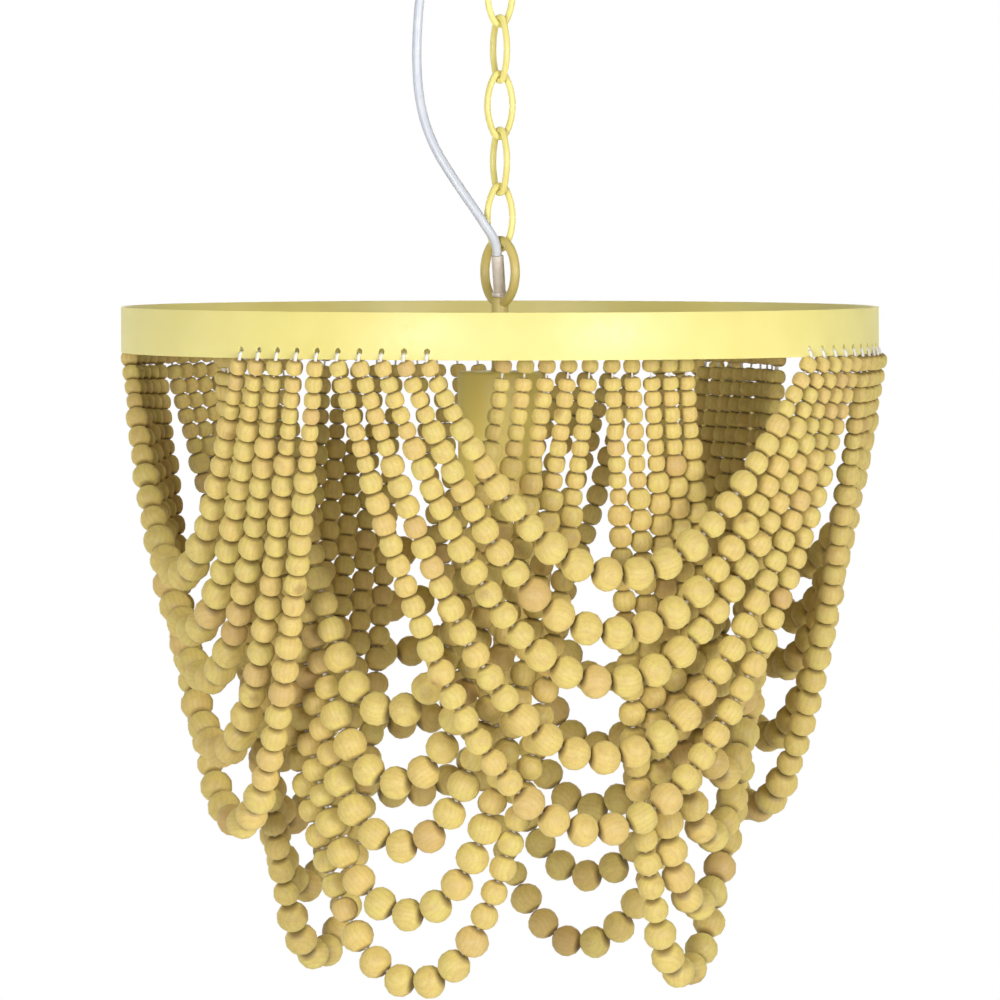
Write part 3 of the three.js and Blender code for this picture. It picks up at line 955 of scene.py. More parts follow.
@dataclass(frozen=True)
class Hanger:
    """The loop that the chain carries, the stem below it and the cord's grip."""

    finishes: Finishes
    loop_wire: float = 5.6
    loop_radius: float = 18.6
    loop_clearance: float = 0.1
    stem_chamfer: float = 0.8
    collar_radius: float = 5
    collar_height: float = 2.8
    collar_edges: Pair = (0.4, 0.5)
    lip_height: float = 0.7
    lip_reach: Pair = (0.2, 0.1)
    sleeve_radius: float = 3.65

    def build(self) -> None:
        """Builds and dresses all three pieces."""
        self.loop()
        self.stem()
        self.grip()

    def loop(self) -> None:
        """A welded wire ring that ends on both sides of the stem."""
        centre = axis(SHARED.loop_centre)
        bpy.ops.mesh.primitive_torus_add(
            major_segments=96,
            minor_segments=24,
            major_radius=self.loop_radius * MM,
            minor_radius=self.loop_wire / 2 * MM,
            location=metres(centre),
            rotation=(math.pi / 2, 0, math.radians(SHARED.chain_turn)),
        )
        loop = settle(bpy.context.object)
        low = centre - axis(self.loop_radius + self.loop_wire)
        cut(loop, rod(low, centre, SHARED.stem_radius + self.loop_clearance, 48))
        smooth(loop, 40)
        hand_over(loop, "wire_loop", Body.LAMP, self.finishes.loop, "stem_loop")

    def stem(self) -> None:
        """The tube that carries the frame and the holder, chamfered at its ends."""
        bottom, top = SHARED.holder_top - SHARED.stem_in_holder, SHARED.stem_top
        wide, edge = SHARED.stem_radius, self.stem_chamfer
        profile = [(0, bottom), (wide - edge, bottom), (wide, bottom + edge)]
        profile += [(wide, top - edge), (wide - edge, top), (0, top)]
        stem = turned(profile, 48)
        ease(stem, 0.2, angle=30)
        smooth(stem, 25)
        hand_over(stem, "lamp_stem", Body.LAMP, self.finishes.loop, "stem")

    def grip(self) -> None:
        """The clear sleeve that holds the cord: a stepped collar and a leaning tube."""
        foot = SHARED.stem_top + SHARED.touch_gap
        top = foot + self.collar_height
        lip = top + self.lip_height
        wide, (under, over) = self.collar_radius, self.collar_edges
        near, far = (self.sleeve_radius + reach for reach in self.lip_reach)
        profile = [(0, foot), (wide - under, foot), (wide, foot + under), (wide, top - over)]
        profile += [(wide - over, top), (near, top), (far, lip), (0, lip)]
        collar = turned(profile, 40)
        sleeve = rod(axis(foot + self.collar_height / 2), SHARED.grip_end, self.sleeve_radius, 40)
        ease(sleeve, 0.5, 3, 60)
        grip = smooth(join([sleeve, collar]), 30)
        hand_over(grip, "cord_sleeve", Body.LAMP, self.finishes.sleeve, "cord_grip")


@dataclass(frozen=True)
class Holes:
    """Groups of drilled holes round a hoop, five for each of the two swags that meet there."""

    groups: tuple[float, ...]
    pitch: float
    each_side: int = 5
    radius: float = 1.9

    def angles(self) -> list[float]:
        """Returns the angle of every hole, in degrees."""
        count = 2 * self.each_side
        return [group + (i - (count - 1) / 2) * self.pitch for group in self.groups for i in range(count)]


@dataclass(frozen=True)
class Ring:
    """A hoop, its holes and the beads of its strands.

    Each strand of a swag has a row of counts: its small, medium and large beads on either side,
    then the largest ones in its middle. Its first beads stand apart by a share, the slack.
    """

    name: str
    node: str
    radius: float
    top: float
    segments: int
    holes: Holes
    counts: tuple[tuple[int, int, int, int], ...]
    slack: Pair


RINGS = (
    Ring(
        name="outer",
        node="outer_band",
        radius=SHARED.band_radius,
        top=SHARED.band_top,
        segments=192,
        holes=Holes((-136.3, -42.9, 45.5, 134.5), 3.39),
        counts=((4, 3, 3, 6), (4, 5, 3, 7), (5, 5, 5, 6), (6, 7, 5, 7), (7, 8, 7, 6)),
        slack=(0.0, 0.07),
    ),
    Ring(
        name="inner",
        node="inner_ring",
        radius=SHARED.ring_radius,
        top=SHARED.arm_bottom - SHARED.touch_gap,
        segments=144,
        holes=Holes((-90, 0, 90, 180), 4.36),
        counts=((5, 6, 3, 6), (6, 8, 3, 7), (7, 8, 5, 7), (8, 8, 6, 9), (9, 8, 10, 6)),
        slack=(0.1, 0.19),
    ),
)


@dataclass(frozen=True)
class Hoops:
    """Two hoops of flat strip with eased edges and countersunk holes for the strands."""

    finishes: Finishes
    flare_depth: float = 0.3
    flare_steps: Pair = (0.35, 3)
    flare: float = 1.08

    def build(self) -> None:
        """Builds each hoop, drills its holes and dresses it."""
        bottom = SHARED.band_bottom
        for ring in RINGS:
            bpy.ops.mesh.primitive_cylinder_add(
                vertices=ring.segments,
                radius=ring.radius * MM,
                depth=(ring.top - bottom) * MM,
                end_fill_type="NOTHING",
                location=metres(axis((ring.top + bottom) / 2)),
            )
            hoop = settle(bpy.context.object)
            apply(hoop, "SOLIDIFY", thickness=SHARED.strip * MM, offset=-1, use_rim=True)
            face_out(hoop)
            ease(hoop, 0.4, 3)
            cut(hoop, self.drill(ring))
            smooth(hoop, 28)
            hand_over(hoop, f"{ring.name}_hoop", Body.LAMP, self.finishes.frame, ring.node)

    def drill(self, ring: Ring) -> Object:
        """Makes the tool for all of a hoop's holes: a drill with a flared end for each, joined.

        Args:
            ring: The hoop.

        Returns:
            The tool.
        """
        inside = Vector((ring.radius - SHARED.strip - OVERRUN / 2, 0, 0))
        flare = Vector((ring.radius - self.flare_depth, 0, 0))
        bit = rod(inside, flare, ring.holes.radius, 16)
        edit(bit, Element.FACES)
        choose(bit, Element.FACES, lambda place: place.x > flare.x - 0.01)
        for step in self.flare_steps:
            bpy.ops.mesh.extrude_region_move(TRANSFORM_OT_translate={"value": metres((step, 0, 0))})
            bpy.ops.transform.resize(value=(1, self.flare, self.flare))
        close()
        place = Matrix.Translation(metres(axis(SHARED.hole)))
        turns = [math.radians(angle) for angle in ring.holes.angles()]
        bits = [copy(bit, place @ Matrix.Rotation(turn, 4, "Z")) for turn in turns]
        bpy.data.objects.remove(bit)
        return join(bits)


@dataclass(frozen=True)
class CrossFrame:
    """Four flat arms on a hub, welded to the band, and the nut that clamps them on the stem."""

    finishes: Finishes
    arm_width: float = 12
    hub_radius: float = 15
    weld_inset: float = 1
    weld_size: Point = (1.3, 5.04, 1.1)
    nut_across: float = 17
    nut_height: float = 5
    cone_over: float = 1
    cone_reach: float = 1.5
    cone_rise: float = 1.7

    def build(self) -> None:
        """Builds the cross and the nut."""
        self.cross()
        self.nut()

    def bore(self, piece: Object, low: Vector, high: Vector) -> None:
        """Drills a piece for the stem, between two points of the axis."""
        over = axis(OVERRUN)
        cut(piece, rod(low - over, high + over, SHARED.stem_radius + SHARED.touch_gap, 48))

    def cross(self) -> None:
        """Two crossed bars and a round hub, made one, with eased edges and weld beads."""
        long = 2 * (SHARED.band_radius - SHARED.strip - SHARED.touch_gap)
        low, high = axis(SHARED.arm_bottom), axis(SHARED.arm_top)
        middle = (low + high) / 2
        cross = slab((long, self.arm_width, SHARED.arm_thickness), middle)
        cut(cross, slab((self.arm_width, long, SHARED.arm_thickness), middle), "UNION")
        cut(cross, rod(low, high, self.hub_radius, 64), "UNION")
        self.bore(cross, low, high)
        ease(cross, 0.5)
        cross = smooth(join([cross, *(self.weld(turn) for turn in (0, 90, 180, 270))]), 30)
        hand_over(cross, "cross_bars", Body.LAMP, self.finishes.frame, "cross_frame")

    def weld(self, turn: float) -> Object:
        """Lays the weld bead along an arm's end, at the band.

        Args:
            turn: The arm's angle, in degrees.

        Returns:
            The bead.
        """
        reach = SHARED.band_radius - SHARED.strip - self.weld_inset
        bpy.ops.mesh.primitive_uv_sphere_add(segments=24, ring_count=12, radius=MM)
        bead = bpy.context.object
        bead.scale = self.weld_size
        bead.rotation_euler = (0, 0, math.radians(turn))
        bead.location = metres(around_axis(reach, turn, SHARED.arm_top))
        return settle(bead)

    def nut(self) -> None:
        """A hexagon nut with its corners turned off."""
        bottom = SHARED.arm_top + SHARED.touch_gap
        top = bottom + self.nut_height
        half = self.nut_across / 2
        wide = half / math.cos(math.pi / 6)
        over, far, rise = self.cone_over, wide + self.cone_reach, self.cone_rise
        nut = rod(axis(bottom), axis(top), wide, 6)
        cone = [(0, bottom - over), (half, bottom - over), (far, bottom + rise)]
        cone += [(far, top - rise), (half, top + over), (0, top + over)]
        cut(nut, turned(cone, 72), "INTERSECT")
        self.bore(nut, axis(bottom), axis(top))
        ease(nut, 0.25)
        smooth(nut)
        hand_over(nut, "hex_nut", Body.LAMP, self.finishes.frame, "stem_nut")


@dataclass(frozen=True)
class LampHolder:
    """The painted cup, the plastic socket in it and the socket's screw shell."""

    finishes: Finishes
    radius: float = 25
    wall: float = 1.2
    edge: float = 3
    socket_radius: float = 19
    socket_height: float = 50
    socket_bore: float = 14.8
    socket_floor: float = 12
    bore_chamfer: Pair = (1.2, 1)
    foot_chamfer: float = 0.8
    rim_height: float = 8
    rim_step: float = 0.7
    shell_wall: float = 0.8
    shell_height: float = 30
    shell_collar: float = 2
    groove_depth: float = 0.45
    grooves: int = 7
    groove_steps: int = 48
    tongue: Point = (4.5, 9, 0.6)
    tongue_drop: float = 4.4

    @property
    def socket_top(self) -> float:
        """The height of the socket's top, under the stem's end."""
        return SHARED.holder_top - SHARED.stem_in_holder - SHARED.touch_gap

    def build(self) -> None:
        """Builds and dresses all three pieces."""
        self.cup()
        self.socket()
        self.shell()

    def cup(self) -> None:
        """A straight spun cup, rounded at its shoulder and open below."""
        bore = SHARED.stem_radius + SHARED.touch_gap
        bottom, top, inner = SHARED.holder_bottom, SHARED.holder_top, self.radius - self.wall
        corner = (self.radius - self.edge, top - self.edge)
        profile = [
            (inner, bottom),
            (self.radius, bottom),
            *arc(corner, self.edge, 0, 90, 6),
            (bore, top),
            (bore, top - self.wall),
            *arc(corner, self.edge - self.wall, 90, 0, 6),
            (inner, bottom),
        ]
        cup = turned(profile, 96)
        ease(cup, 0.25)
        smooth(cup)
        hand_over(cup, "holder_sleeve", Body.LAMP, self.finishes.holder, "holder_cup")

    def socket(self) -> None:
        """The plastic body, with a stepped rim round its bore."""
        top = self.socket_top
        bottom = top - self.socket_height
        bore, bore_top = self.socket_bore, top - self.socket_floor
        wide, edge, step = self.socket_radius, self.foot_chamfer, self.rim_step
        shoulder = wide / 4
        out, up = self.bore_chamfer
        rim = bottom + self.rim_height
        profile = [
            (bore, bottom + up),
            (bore + out, bottom),
            (wide - edge, bottom),
            (wide, bottom + edge),
            (wide, rim),
            (wide - step, rim + step),
            (wide - step, top - shoulder),
            (wide - shoulder, top),
            (0, top),
            (0, bore_top),
            (bore, bore_top),
            (bore, bottom + up),
        ]
        socket = smooth(turned(profile, 72))
        hand_over(socket, "socket_body", Body.LAMP, self.finishes.socket, "holder_socket")

    def shell(self) -> None:
        """The rolled screw shell, with a tongue for the lamp's tip contact."""
        outer = self.socket_bore - SHARED.touch_gap
        top = self.socket_top - self.socket_floor - SHARED.touch_gap
        bottom, wall = top - self.shell_height, self.shell_wall
        rolled = []
        for i in range(self.groove_steps + 1):
            share = i / self.groove_steps
            depth = self.groove_depth * (1 - math.cos(math.tau * self.grooves * share))
            rolled.append((outer - depth, bottom + (top - bottom - self.shell_collar) * share))
        profile = [
            *rolled,
            (outer, top),
            (0, top),
            (0, top - wall),
            (outer - wall, top - wall),
            *((radius - wall, height) for radius, height in reversed(rolled)),
            rolled[0],
        ]
        shell = smooth(turned(profile, 64), 40)
        tongue = slab(self.tongue, axis(top - self.tongue_drop))
        ease(tongue, 0.2)
        shell = join([shell, tongue])
        hand_over(shell, "threaded_shell", Body.LAMP, self.finishes.brass, "screw_shell")


@dataclass(frozen=True)
class BeadShape:
    """One size of turned bead: its width, height and the rings of its upper half.

    Each ring is (share of the half height, share of the half width), from the end to the middle.
    """

    width: float
    height: float
    rings: tuple[Pair, Pair, Pair]
    segments: int = 12

    def model(self, name: str) -> Object:
        """Returns the bead at the origin, its bore along Z, with room for its own marks."""
        parts = 2 * len(self.rings) + 2
        half = self.width / 2
        bpy.ops.mesh.primitive_uv_sphere_add(segments=self.segments, ring_count=parts, radius=half * MM)
        bead = bpy.context.object
        bead.name = name
        edit(bead, Element.POINTS)
        for side in (-1, 1):
            choose(bead, Element.POINTS, lambda place: place.z * side > half * 0.99)
            bpy.ops.mesh.dissolve_verts()
            for i, (rise, reach) in enumerate(self.rings, start=1):
                level = side * half * math.cos(math.pi * i / parts)
                choose(bead, Element.POINTS, lambda place: abs(place.z - level) < 0.05)
                wide = reach / math.sin(math.pi * i / parts)
                bpy.ops.transform.resize(value=(wide, wide, 1), center_override=(0, 0, 0))
                bpy.ops.transform.translate(value=metres(axis(side * rise * self.height / 2 - level)))
        close()
        pick(bead)
        bpy.ops.object.shade_smooth()
        for mark, kind in (("bead_place", "FLOAT_VECTOR"), ("bead_tone", "FLOAT"), ("bead_end", "FLOAT")):
            bead.data.attributes.new(mark, kind, "POINT")
        ends = [abs(point.co.z) / (self.height / 2 * MM) for point in bead.data.vertices]
        bead.data.attributes["bead_end"].data.foreach_set("value", ends)
        places = [value / MM for point in bead.data.vertices for value in point.co]
        bead.data.attributes["bead_place"].data.foreach_set("vector", places)
        return bead


@dataclass(frozen=True)
class Strand:
    """Where one strand hangs: its ends on the hoop, its beads in order and their centres."""

    start: Vector
    end: Vector
    order: tuple[BeadSize, ...]
    centres: list[Vector]


BEADS = {
    BeadSize.SMALL: BeadShape(10.395, 9.09, ((0.985, 0.52), (0.8, 0.79), (0.44, 0.96))),
    BeadSize.MEDIUM: BeadShape(13.995, 12.195, ((0.985, 0.46), (0.8, 0.75), (0.44, 0.945))),
    BeadSize.LARGE: BeadShape(16.29, 15.0075, ((0.985, 0.38), (0.79, 0.69), (0.43, 0.93)), 14),
    BeadSize.LARGEST: BeadShape(20.0025, 18.405, ((0.985, 0.33), (0.79, 0.66), (0.43, 0.92)), 14),
}


@dataclass(frozen=True)
class Swags:
    """Strands of wooden beads that hang between the groups of holes of both hoops."""

    finishes: Finishes
    big: tuple[BeadSize, BeadSize] = (BeadSize.LARGE, BeadSize.LARGEST)
    widths: Pair = (0.965, 1.01)
    heights: Pair = (0.995, 1.03)
    big_heights: Pair = (0.94, 1.0)
    lean: float = 2.5
    bead_gap: float = 0.35
    bow: float = 1.0
    thread_radius: float = 0.9
    thread_seen: float = 1.05
    pressed: float = 0.6
    fluffed: float = 1.25
    knot_size: float = 2.1
    knot_height: float = 0.85
    thread_edge: float = SHARED.band_bottom - 0.6
    # The thread's way through its hole, in its own radii: out from the hoop, and up from the hole's lip.
    behind: tuple[Pair, ...] = ((-1.0, -1.0), (0.0, 0.4))
    before: tuple[Pair, ...] = ((0.0, 0.3), (0.7, -0.6), (0.8, -1.6))
    halvings: int = 200
    chance: random.Random = field(default_factory=lambda: random.Random(SEED))

    def build(self) -> None:
        """Models the beads once and strings a copy of one at each place."""
        masters = {size: shape.model(f"bead_{size.name.lower()}") for size, shape in BEADS.items()}
        for ring in RINGS:
            for group in range(len(ring.holes.groups)):
                threads = []
                for number, strand in enumerate(self.strands(ring, group), start=1):
                    beads = self.string(strand, masters, self.chance.uniform(*ring.slack))
                    name = f"beads_{ring.name}_{group + 1}_{number}"
                    node = f"{ring.name}_swag_{group + 1}_strand_{number}"
                    hand_over(beads, name, Body.LAMP, self.finishes.wood, node)
                    threads += self.thread(ring, strand)
                piece = smooth(join(threads), 60)
                hand_over(piece, f"threads_{ring.name}_{group + 1}", Body.LAMP, self.finishes.thread)
        for bead in masters.values():
            bpy.data.objects.remove(bead)

    def strands(self, ring: Ring, group: int) -> list[Strand]:
        """Plans the strands of one swag.

        Args:
            ring: The hoop and its counts.
            group: The number of the swag's first group of holes, from 0.

        Returns:
            The strands, from the shortest to the longest.
        """
        groups, holes = ring.holes.groups, ring.holes
        offset = ring.radius + SHARED.touch_gap + self.thread_radius
        made = []
        for k, counts in enumerate(ring.counts):
            step = (holes.each_side - k - 0.5) * holes.pitch
            start = around_axis(offset, groups[group] + step)
            end = around_axis(offset, groups[(group + 1) % len(groups)] - step)
            side = [size for size, count in zip(BeadSize, counts[:3]) for _ in range(count)]
            order = (*side, *[BeadSize.LARGEST] * counts[3], *reversed(side))
            bow = ((holes.each_side - 1) / 2 - k) * self.bow
            made.append(Strand(start, end, order, self.hang(start, end, order, bow)))
        return made

    def hang(self, start: Vector, end: Vector, order: Sequence[BeadSize], bow: float) -> list[Vector]:
        """Finds where each bead of a loaded thread hangs.

        The pull along the span is the same everywhere and each bead's weight turns the thread.
        It is found by halving until the thread fills the span.

        Args:
            start: The thread's first end on the hoop.
            end: Its other end.
            order: Its beads.
            bow: How far its middle stands out from the straight span.

        Returns:
            The beads' centres, in millimetres.
        """
        shapes = [BEADS[size] for size in order]
        half = [(shape.height + self.bead_gap) / 2 for shape in shapes]
        reaches = [half[0], *(a + b for a, b in zip(half, half[1:])), half[-1]]
        weights = [shape.width**2 * shape.height for shape in shapes]
        total = sum(weights)
        lifts = [total / 2]
        for weight in weights:
            lifts.append(lifts[-1] - weight)
        chord = (end - start) * Vector((1, 1, 0))
        span = chord.length
        low, high = 0.0, total * total
        for _ in range(self.halvings):
            pull = (low + high) / 2
            filled = sum(reach * pull / math.hypot(pull, lift) for reach, lift in zip(reaches, lifts))
            low, high = (pull, high) if filled < span else (low, pull)
        chord.normalize()
        outward = Vector((chord.y, -chord.x, 0))
        centres = []
        along = drop = 0.0
        for reach, lift in zip(reaches[:-1], lifts):
            tension = math.hypot(high, lift)
            along += reach * high / tension
            drop += reach * lift / tension
            place = start + chord * along + outward * bow * math.sin(math.pi * along / span)
            centres.append(Vector((place.x, place.y, self.thread_edge - drop)))
        return centres

    def string(self, strand: Strand, masters: dict[BeadSize, Object], slack: float) -> Object:
        """Strings one strand: a copy of the right bead at each centre, turned along the thread.

        Args:
            strand: The strand.
            masters: The modelled beads.
            slack: How far the first two beads stand apart, where the bare thread shows, as a share.

        Returns:
            The strand's beads, joined.
        """
        first, second = (Vector((*spot.xy, self.thread_edge)) for spot in (strand.start, strand.end))
        path = [first, *strand.centres, second]
        beads = []
        last = len(strand.order) - 1
        for i, size in enumerate(strand.order):
            along = path[i + 2] - path[i]
            spin = Matrix.Rotation(self.chance.uniform(0, math.tau), 4, "Z")
            tilt = Matrix.Rotation(math.radians(self.chance.gauss(0, self.lean)), 4, "X")
            wide = self.chance.uniform(*self.widths)
            tall = self.chance.uniform(*(self.big_heights if size in self.big else self.heights))
            push = 0.0
            from_end = min(i, last - i)
            if from_end < 2:
                tall = 1 - slack
                push = BEADS[size].height / 2 * slack * (1 if from_end == 0 else -1)
            grown = Matrix.Diagonal((wide, wide, tall, 1))
            turn = along.to_track_quat("Z", "Y").to_matrix().to_4x4()
            place = Matrix.Translation(metres(path[i + 1] + axis(push)))
            bead = copy(masters[size], place @ turn @ tilt @ spin @ grown)
            tones = [self.chance.random()] * len(bead.data.vertices)
            bead.data.attributes["bead_tone"].data.foreach_set("value", tones)
            beads.append(bead)
        return join(beads)

    def thread(self, ring: Ring, strand: Strand) -> list[Object]:
        """Draws a strand's thread, in through the hoop's holes, with a knot behind each.

        Args:
            ring: The hoop.
            strand: The strand.

        Returns:
            The thread and its two knots.
        """
        lip = SHARED.hole - ring.holes.radius
        seen, back = self.thread_seen, -SHARED.strip
        route = [(back - self.knot_size, lip - self.knot_size)]
        route += [(back + seen * off, lip + seen * up) for off, up in self.behind]
        route += [(seen * off, lip + seen * up) for off, up in self.before]
        ends = []
        for spot in (strand.start, strand.end):
            out = Vector((*spot.xy, 0)).normalized()
            steps = [out * (ring.radius + off) + axis(height) for off, height in route]
            ends.append([*steps, Vector((*spot.xy, self.thread_edge))])
        path = [*ends[0], *strand.centres, *reversed(ends[1])]
        bare = [1.0] * len(ends[0])
        strung = [self.fluffed if size in self.big else self.pressed for size in strand.order]
        return [wire(path, seen, 1, [*bare, *strung, *bare]), *(self.knot(steps[0]) for steps in ends)]

    def knot(self, place: Vector) -> Object:
        """Returns a small lumpy knot at a place in millimetres."""
        size = self.knot_size * MM
        bpy.ops.mesh.primitive_uv_sphere_add(segments=8, ring_count=5, radius=size, location=metres(place))
        bpy.context.object.scale = (1, 1, self.knot_height)
        return settle(bpy.context.object)


@dataclass(frozen=True)
class Flex:
    """The clear round cord from the sleeve on the stem up to the ceiling cup.

    On the lamp it bends with the chain; here it is six lengths that meet at the links.
    """

    finishes: Finishes
    radius: float = 2.8
    steps_each: int = 17
    step: float = 2
    route: tuple[Point, ...] = (
        (-5.8, -6.5, 39),
        (-8.6, -7.3, 43.2),
        (-12.4, -7.4, 48.5),
        (-16.2, -6.5, 54.5),
        (-23.9, -3, 66.7),
        (-31.1, 1, 78.8),
        (-37.5, 4.8, 91),
        (-42.1, 8.1, 103),
        (-45.3, 10.3, 115.3),
        (-47, 11.8, 127.4),
        (-47.7, 12.7, 139.5),
        (-47.7, 13.3, 151.6),
        (-46.8, 13.4, 169.8),
        (-45.4, 13.3, 184),
        (-42.1, 12.3, 200),
        (-36.6, 10.5, 214),
    )

    def build(self) -> None:
        """Builds the six lengths."""
        bodies = list(Body)
        line = self.evened(self.line(), self.steps_each * (len(bodies) - 1))
        for i, (above, below) in enumerate(zip(bodies, bodies[1:])):
            first = i * self.steps_each
            self.length(i, line[first : first + self.steps_each + 1], above, below)

    def length(self, index: int, line: Sequence[Vector], above: Body, below: Body) -> None:
        """Builds one length of the cord.

        Args:
            index: Its number, from 0 at the ceiling.
            line: Its centreline, from the upper end to the lower, in millimetres.
            above: The body above it; not used.
            below: The body below it; not used.
        """
        piece = smooth(wire(line, self.radius, 8), 50)
        piece.name = piece.data.name = f"flex_{index + 1}"
        piece.data.materials.append(self.finishes.sheath.material)
        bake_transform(piece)
        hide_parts("cord")

    def line(self) -> list[Vector]:
        """Returns the cord's centreline from the ceiling down, in short steps."""
        grip = SHARED.grip_end
        leave = (grip - axis(SHARED.stem_top)).normalized()
        first = grip + leave * SHARED.touch_gap
        foot = -SHARED.cup_height - SHARED.gland_length - SHARED.touch_gap
        tip = around_axis(SHARED.gland_distance, SHARED.gland_angle, foot)
        knots = [first, first + leave * self.radius]
        knots += [Vector((x, y, SHARED.band_top + z)) for x, y, z in self.route]
        knots += [tip - axis(self.radius), tip]
        run = [knots[0] * 2 - knots[1], *knots, knots[-1] * 2 - knots[-2]]
        points: list[Vector] = []
        for near in zip(run, run[1:], run[2:], run[3:]):
            steps = max(1, round((near[2] - near[1]).length / self.step))
            points += [self.eased(*near, i / steps) for i in range(steps)]
        return [*points, tip][::-1]

    @staticmethod
    def evened(line: Sequence[Vector], steps: int) -> list[Vector]:
        """Moves a line's points along it until all steps are equally long.

        Args:
            line: The line's points.
            steps: The number of steps.

        Returns:
            The new points.
        """
        reached = [0.0]
        for here, there in zip(line, line[1:]):
            reached.append(reached[-1] + (there - here).length)
        points = []
        i = 0
        for step in range(steps + 1):
            wanted = reached[-1] * step / steps
            while i < len(line) - 2 and reached[i + 1] < wanted:
                i += 1
            share = (wanted - reached[i]) / (reached[i + 1] - reached[i])
            points.append(line[i].lerp(line[i + 1], share))
        return points

    @staticmethod
    def eased(p0: Vector, p1: Vector, p2: Vector, p3: Vector, share: float) -> Vector:
        """Finds a point between the middle two of four that a smooth curve passes through.

        Args:
            p0: The point before.
            p1: The first of the middle two.
            p2: The second.
            p3: The point after.
            share: How far from p1 to p2 the point lies.

        Returns:
            The point.
        """
        d0, d1, d2 = (math.sqrt((b - a).length) for a, b in ((p0, p1), (p1, p2), (p2, p3)))
        leave = ((p1 - p0) / d0 - (p2 - p0) / (d0 + d1) + (p2 - p1) / d1) * d1
        reach = ((p2 - p1) / d1 - (p3 - p1) / (d1 + d2) + (p3 - p2) / d2) * d1
        t, tt, ttt = share, share**2, share**3
        ends = p1 * (2 * ttt - 3 * tt + 1) + p2 * (3 * tt - 2 * ttt)
        return ends + leave * (ttt - 2 * tt + t) + reach * (ttt - tt)


@dataclass(frozen=True)
class SoftBox:
    """A soft box that faces the lamp: azimuth, elevation, width, height and power in watts."""

    name: str
    turn: float
    rise: float
    width: float
    height: float
    power: float
    distance: float = 3600
    target: float = -400
    tint: Point = (1.0, 0.985, 0.96)

    def build(self) -> None:
        """Places the soft box."""
        a, e = math.radians(self.turn), math.radians(self.rise)
        back = Vector((math.sin(a) * math.cos(e), -math.cos(a) * math.cos(e), math.sin(e)))
        place = metres(back * self.distance + axis(self.target))
        facing = (-back).to_track_quat("-Z", "Y").to_euler()
        bpy.ops.object.light_add(type="AREA", location=place, rotation=facing)
        light = bpy.context.object
        light.name = self.name
        light.data.shape = "RECTANGLE"
        light.data.size = self.width * MM
        light.data.size_y = self.height * MM
        light.data.energy = self.power
        light.data.color = self.tint


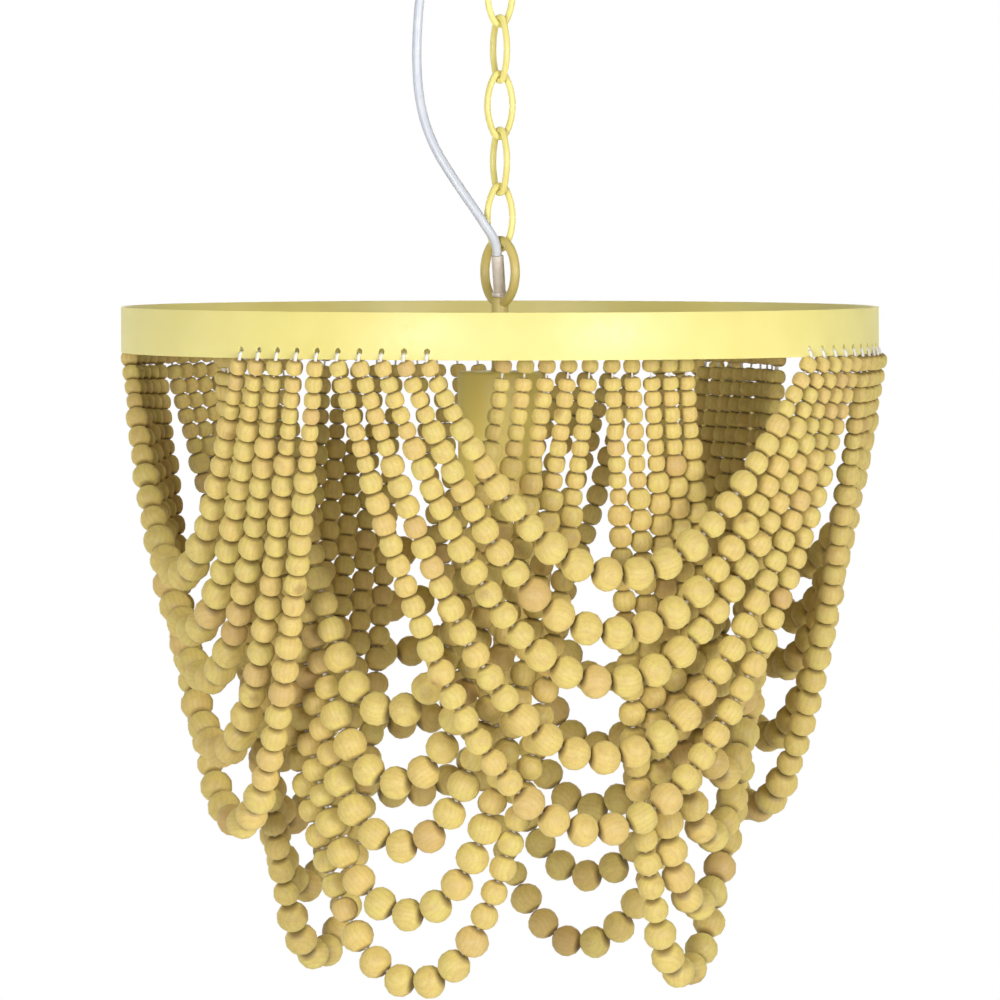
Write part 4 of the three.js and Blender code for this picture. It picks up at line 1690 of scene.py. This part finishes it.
@dataclass(frozen=True)
class Studio:
    """The plain white studio: the photograph's camera, eight soft boxes, a pale floor and the world."""

    turn: float = -20.5
    distance: float = 4166.7
    eye: float = -198.5
    tilt: float = 2.492
    lens: float = 252.3
    sensor: float = 36
    farthest: float = 200
    floor: float = -1600
    floor_radius: float = 40_000
    floor_colour: str = "EDEDEB"
    fade: Pair = (0.9, 3.0)
    faded: Pair = (0.35, 1)
    world_colour: str = "FFF6E6"
    world_light: float = 0.016
    boxes: tuple[SoftBox, ...] = (
        SoftBox("left_box", -41, 3, 1200, 1300, 63),
        SoftBox("right_box", 12, 3, 1500, 1300, 73),
        SoftBox("top_box", -20.5, 64, 1800, 1800, 9),
        SoftBox("left_wall", -116, 2, 2400, 2000, 20),
        SoftBox("right_wall", 80, 2, 2400, 2000, 8),
        SoftBox("left_rear", -166, 2, 2400, 2000, 14),
        SoftBox("right_rear", 132, 2, 2400, 2000, 12),
        SoftBox("rear_box", 159.5, 4, 1800, 2000, 40),
    )

    def build(self) -> None:
        """Builds all that isn't the chandelier."""
        bpy.context.scene.view_settings.view_transform = "Standard"
        self.camera()
        self.floor_disc()
        self.world()
        for box in self.boxes:
            box.build()

    def camera(self) -> None:
        """Sets the camera where the photograph was taken from."""
        a = math.radians(self.turn)
        place = metres(Vector((math.sin(a), -math.cos(a), 0)) * self.distance + axis(self.eye))
        bpy.ops.object.camera_add(location=place, rotation=(math.radians(90 - self.tilt), 0, a))
        camera = bpy.context.object
        camera.name = "photo_camera"
        camera.data.sensor_width = self.sensor
        camera.data.lens = self.lens
        camera.data.clip_end = self.farthest
        bpy.context.scene.camera = camera

    def floor_disc(self) -> None:
        """Lays a pale floor that keeps the shadow and runs out into the white behind."""
        bpy.ops.mesh.primitive_circle_add(
            vertices=96, radius=self.floor_radius * MM, fill_type="NGON", location=metres(axis(self.floor))
        )
        floor = settle(bpy.context.object)
        floor.name = "studio_floor"
        shader = Shader("pale_floor")
        shader.set(Base_Color=linear(self.floor_colour), Roughness=0.9, Specular_IOR_Level=0.1)
        level = ((0, shader.place), (1, (1, 1, 0)))
        flat = shader.node("ShaderNodeVectorMath", *level, operation="MULTIPLY").outputs["Vector"]
        away = shader.node("ShaderNodeVectorMath", (0, flat), operation="LENGTH").outputs["Value"]
        far = (0, shader.spread(away, self.fade, self.faded))
        seen = shader.node("ShaderNodeMath", far, (1, shader.to_camera()), operation="MULTIPLY")
        white = shader.node("ShaderNodeEmission").outputs["Emission"]
        shown = shader.between(seen.outputs["Value"], shader.skin.outputs["BSDF"], white)
        # Seen from below, the floor lets the view through.
        clear = shader.node("ShaderNodeBsdfTransparent").outputs["BSDF"]
        below = shader.node("ShaderNodeNewGeometry").outputs["Backfacing"]
        surface = shader.tree.nodes["Material Output"].inputs["Surface"]
        shader.feed(surface, shader.between(below, shown, clear))
        # Only the camera sees the floor's white; it isn't a lamp.
        shader.material.cycles.emission_sampling = "NONE"
        floor.data.materials.append(shader.material)

    def world(self) -> None:
        """Lights the room evenly and shows pure white behind the lamp."""
        world = bpy.data.worlds.new("white_room")
        bpy.context.scene.world = world
        world.use_nodes = True
        tree = Tree(world.node_tree)
        soft = world.node_tree.nodes["Background"]
        tree.feed(soft.inputs["Color"], linear(self.world_colour))
        tree.feed(soft.inputs["Strength"], self.world_light)
        white = tree.node("ShaderNodeBackground", ("Color", (1, 1, 1, 1)), ("Strength", 1))
        surface = world.node_tree.nodes["World Output"].inputs["Surface"]
        lights = (soft.outputs["Background"], white.outputs["Background"])
        tree.feed(surface, tree.between(tree.to_camera(), *lights))


def main() -> None:
    """Builds the studio and every sub-assembly."""
    logging.basicConfig(level=logging.INFO, format="%(name)s: %(message)s")
    pick()
    Studio().build()
    finishes = Finishes.build()
    for assembly in (Flex, CeilingFitting, Chain, Hanger, Hoops, CrossFrame, LampHolder, Swags):
        assembly(finishes).build()


if __name__ == "__main__":
    main()
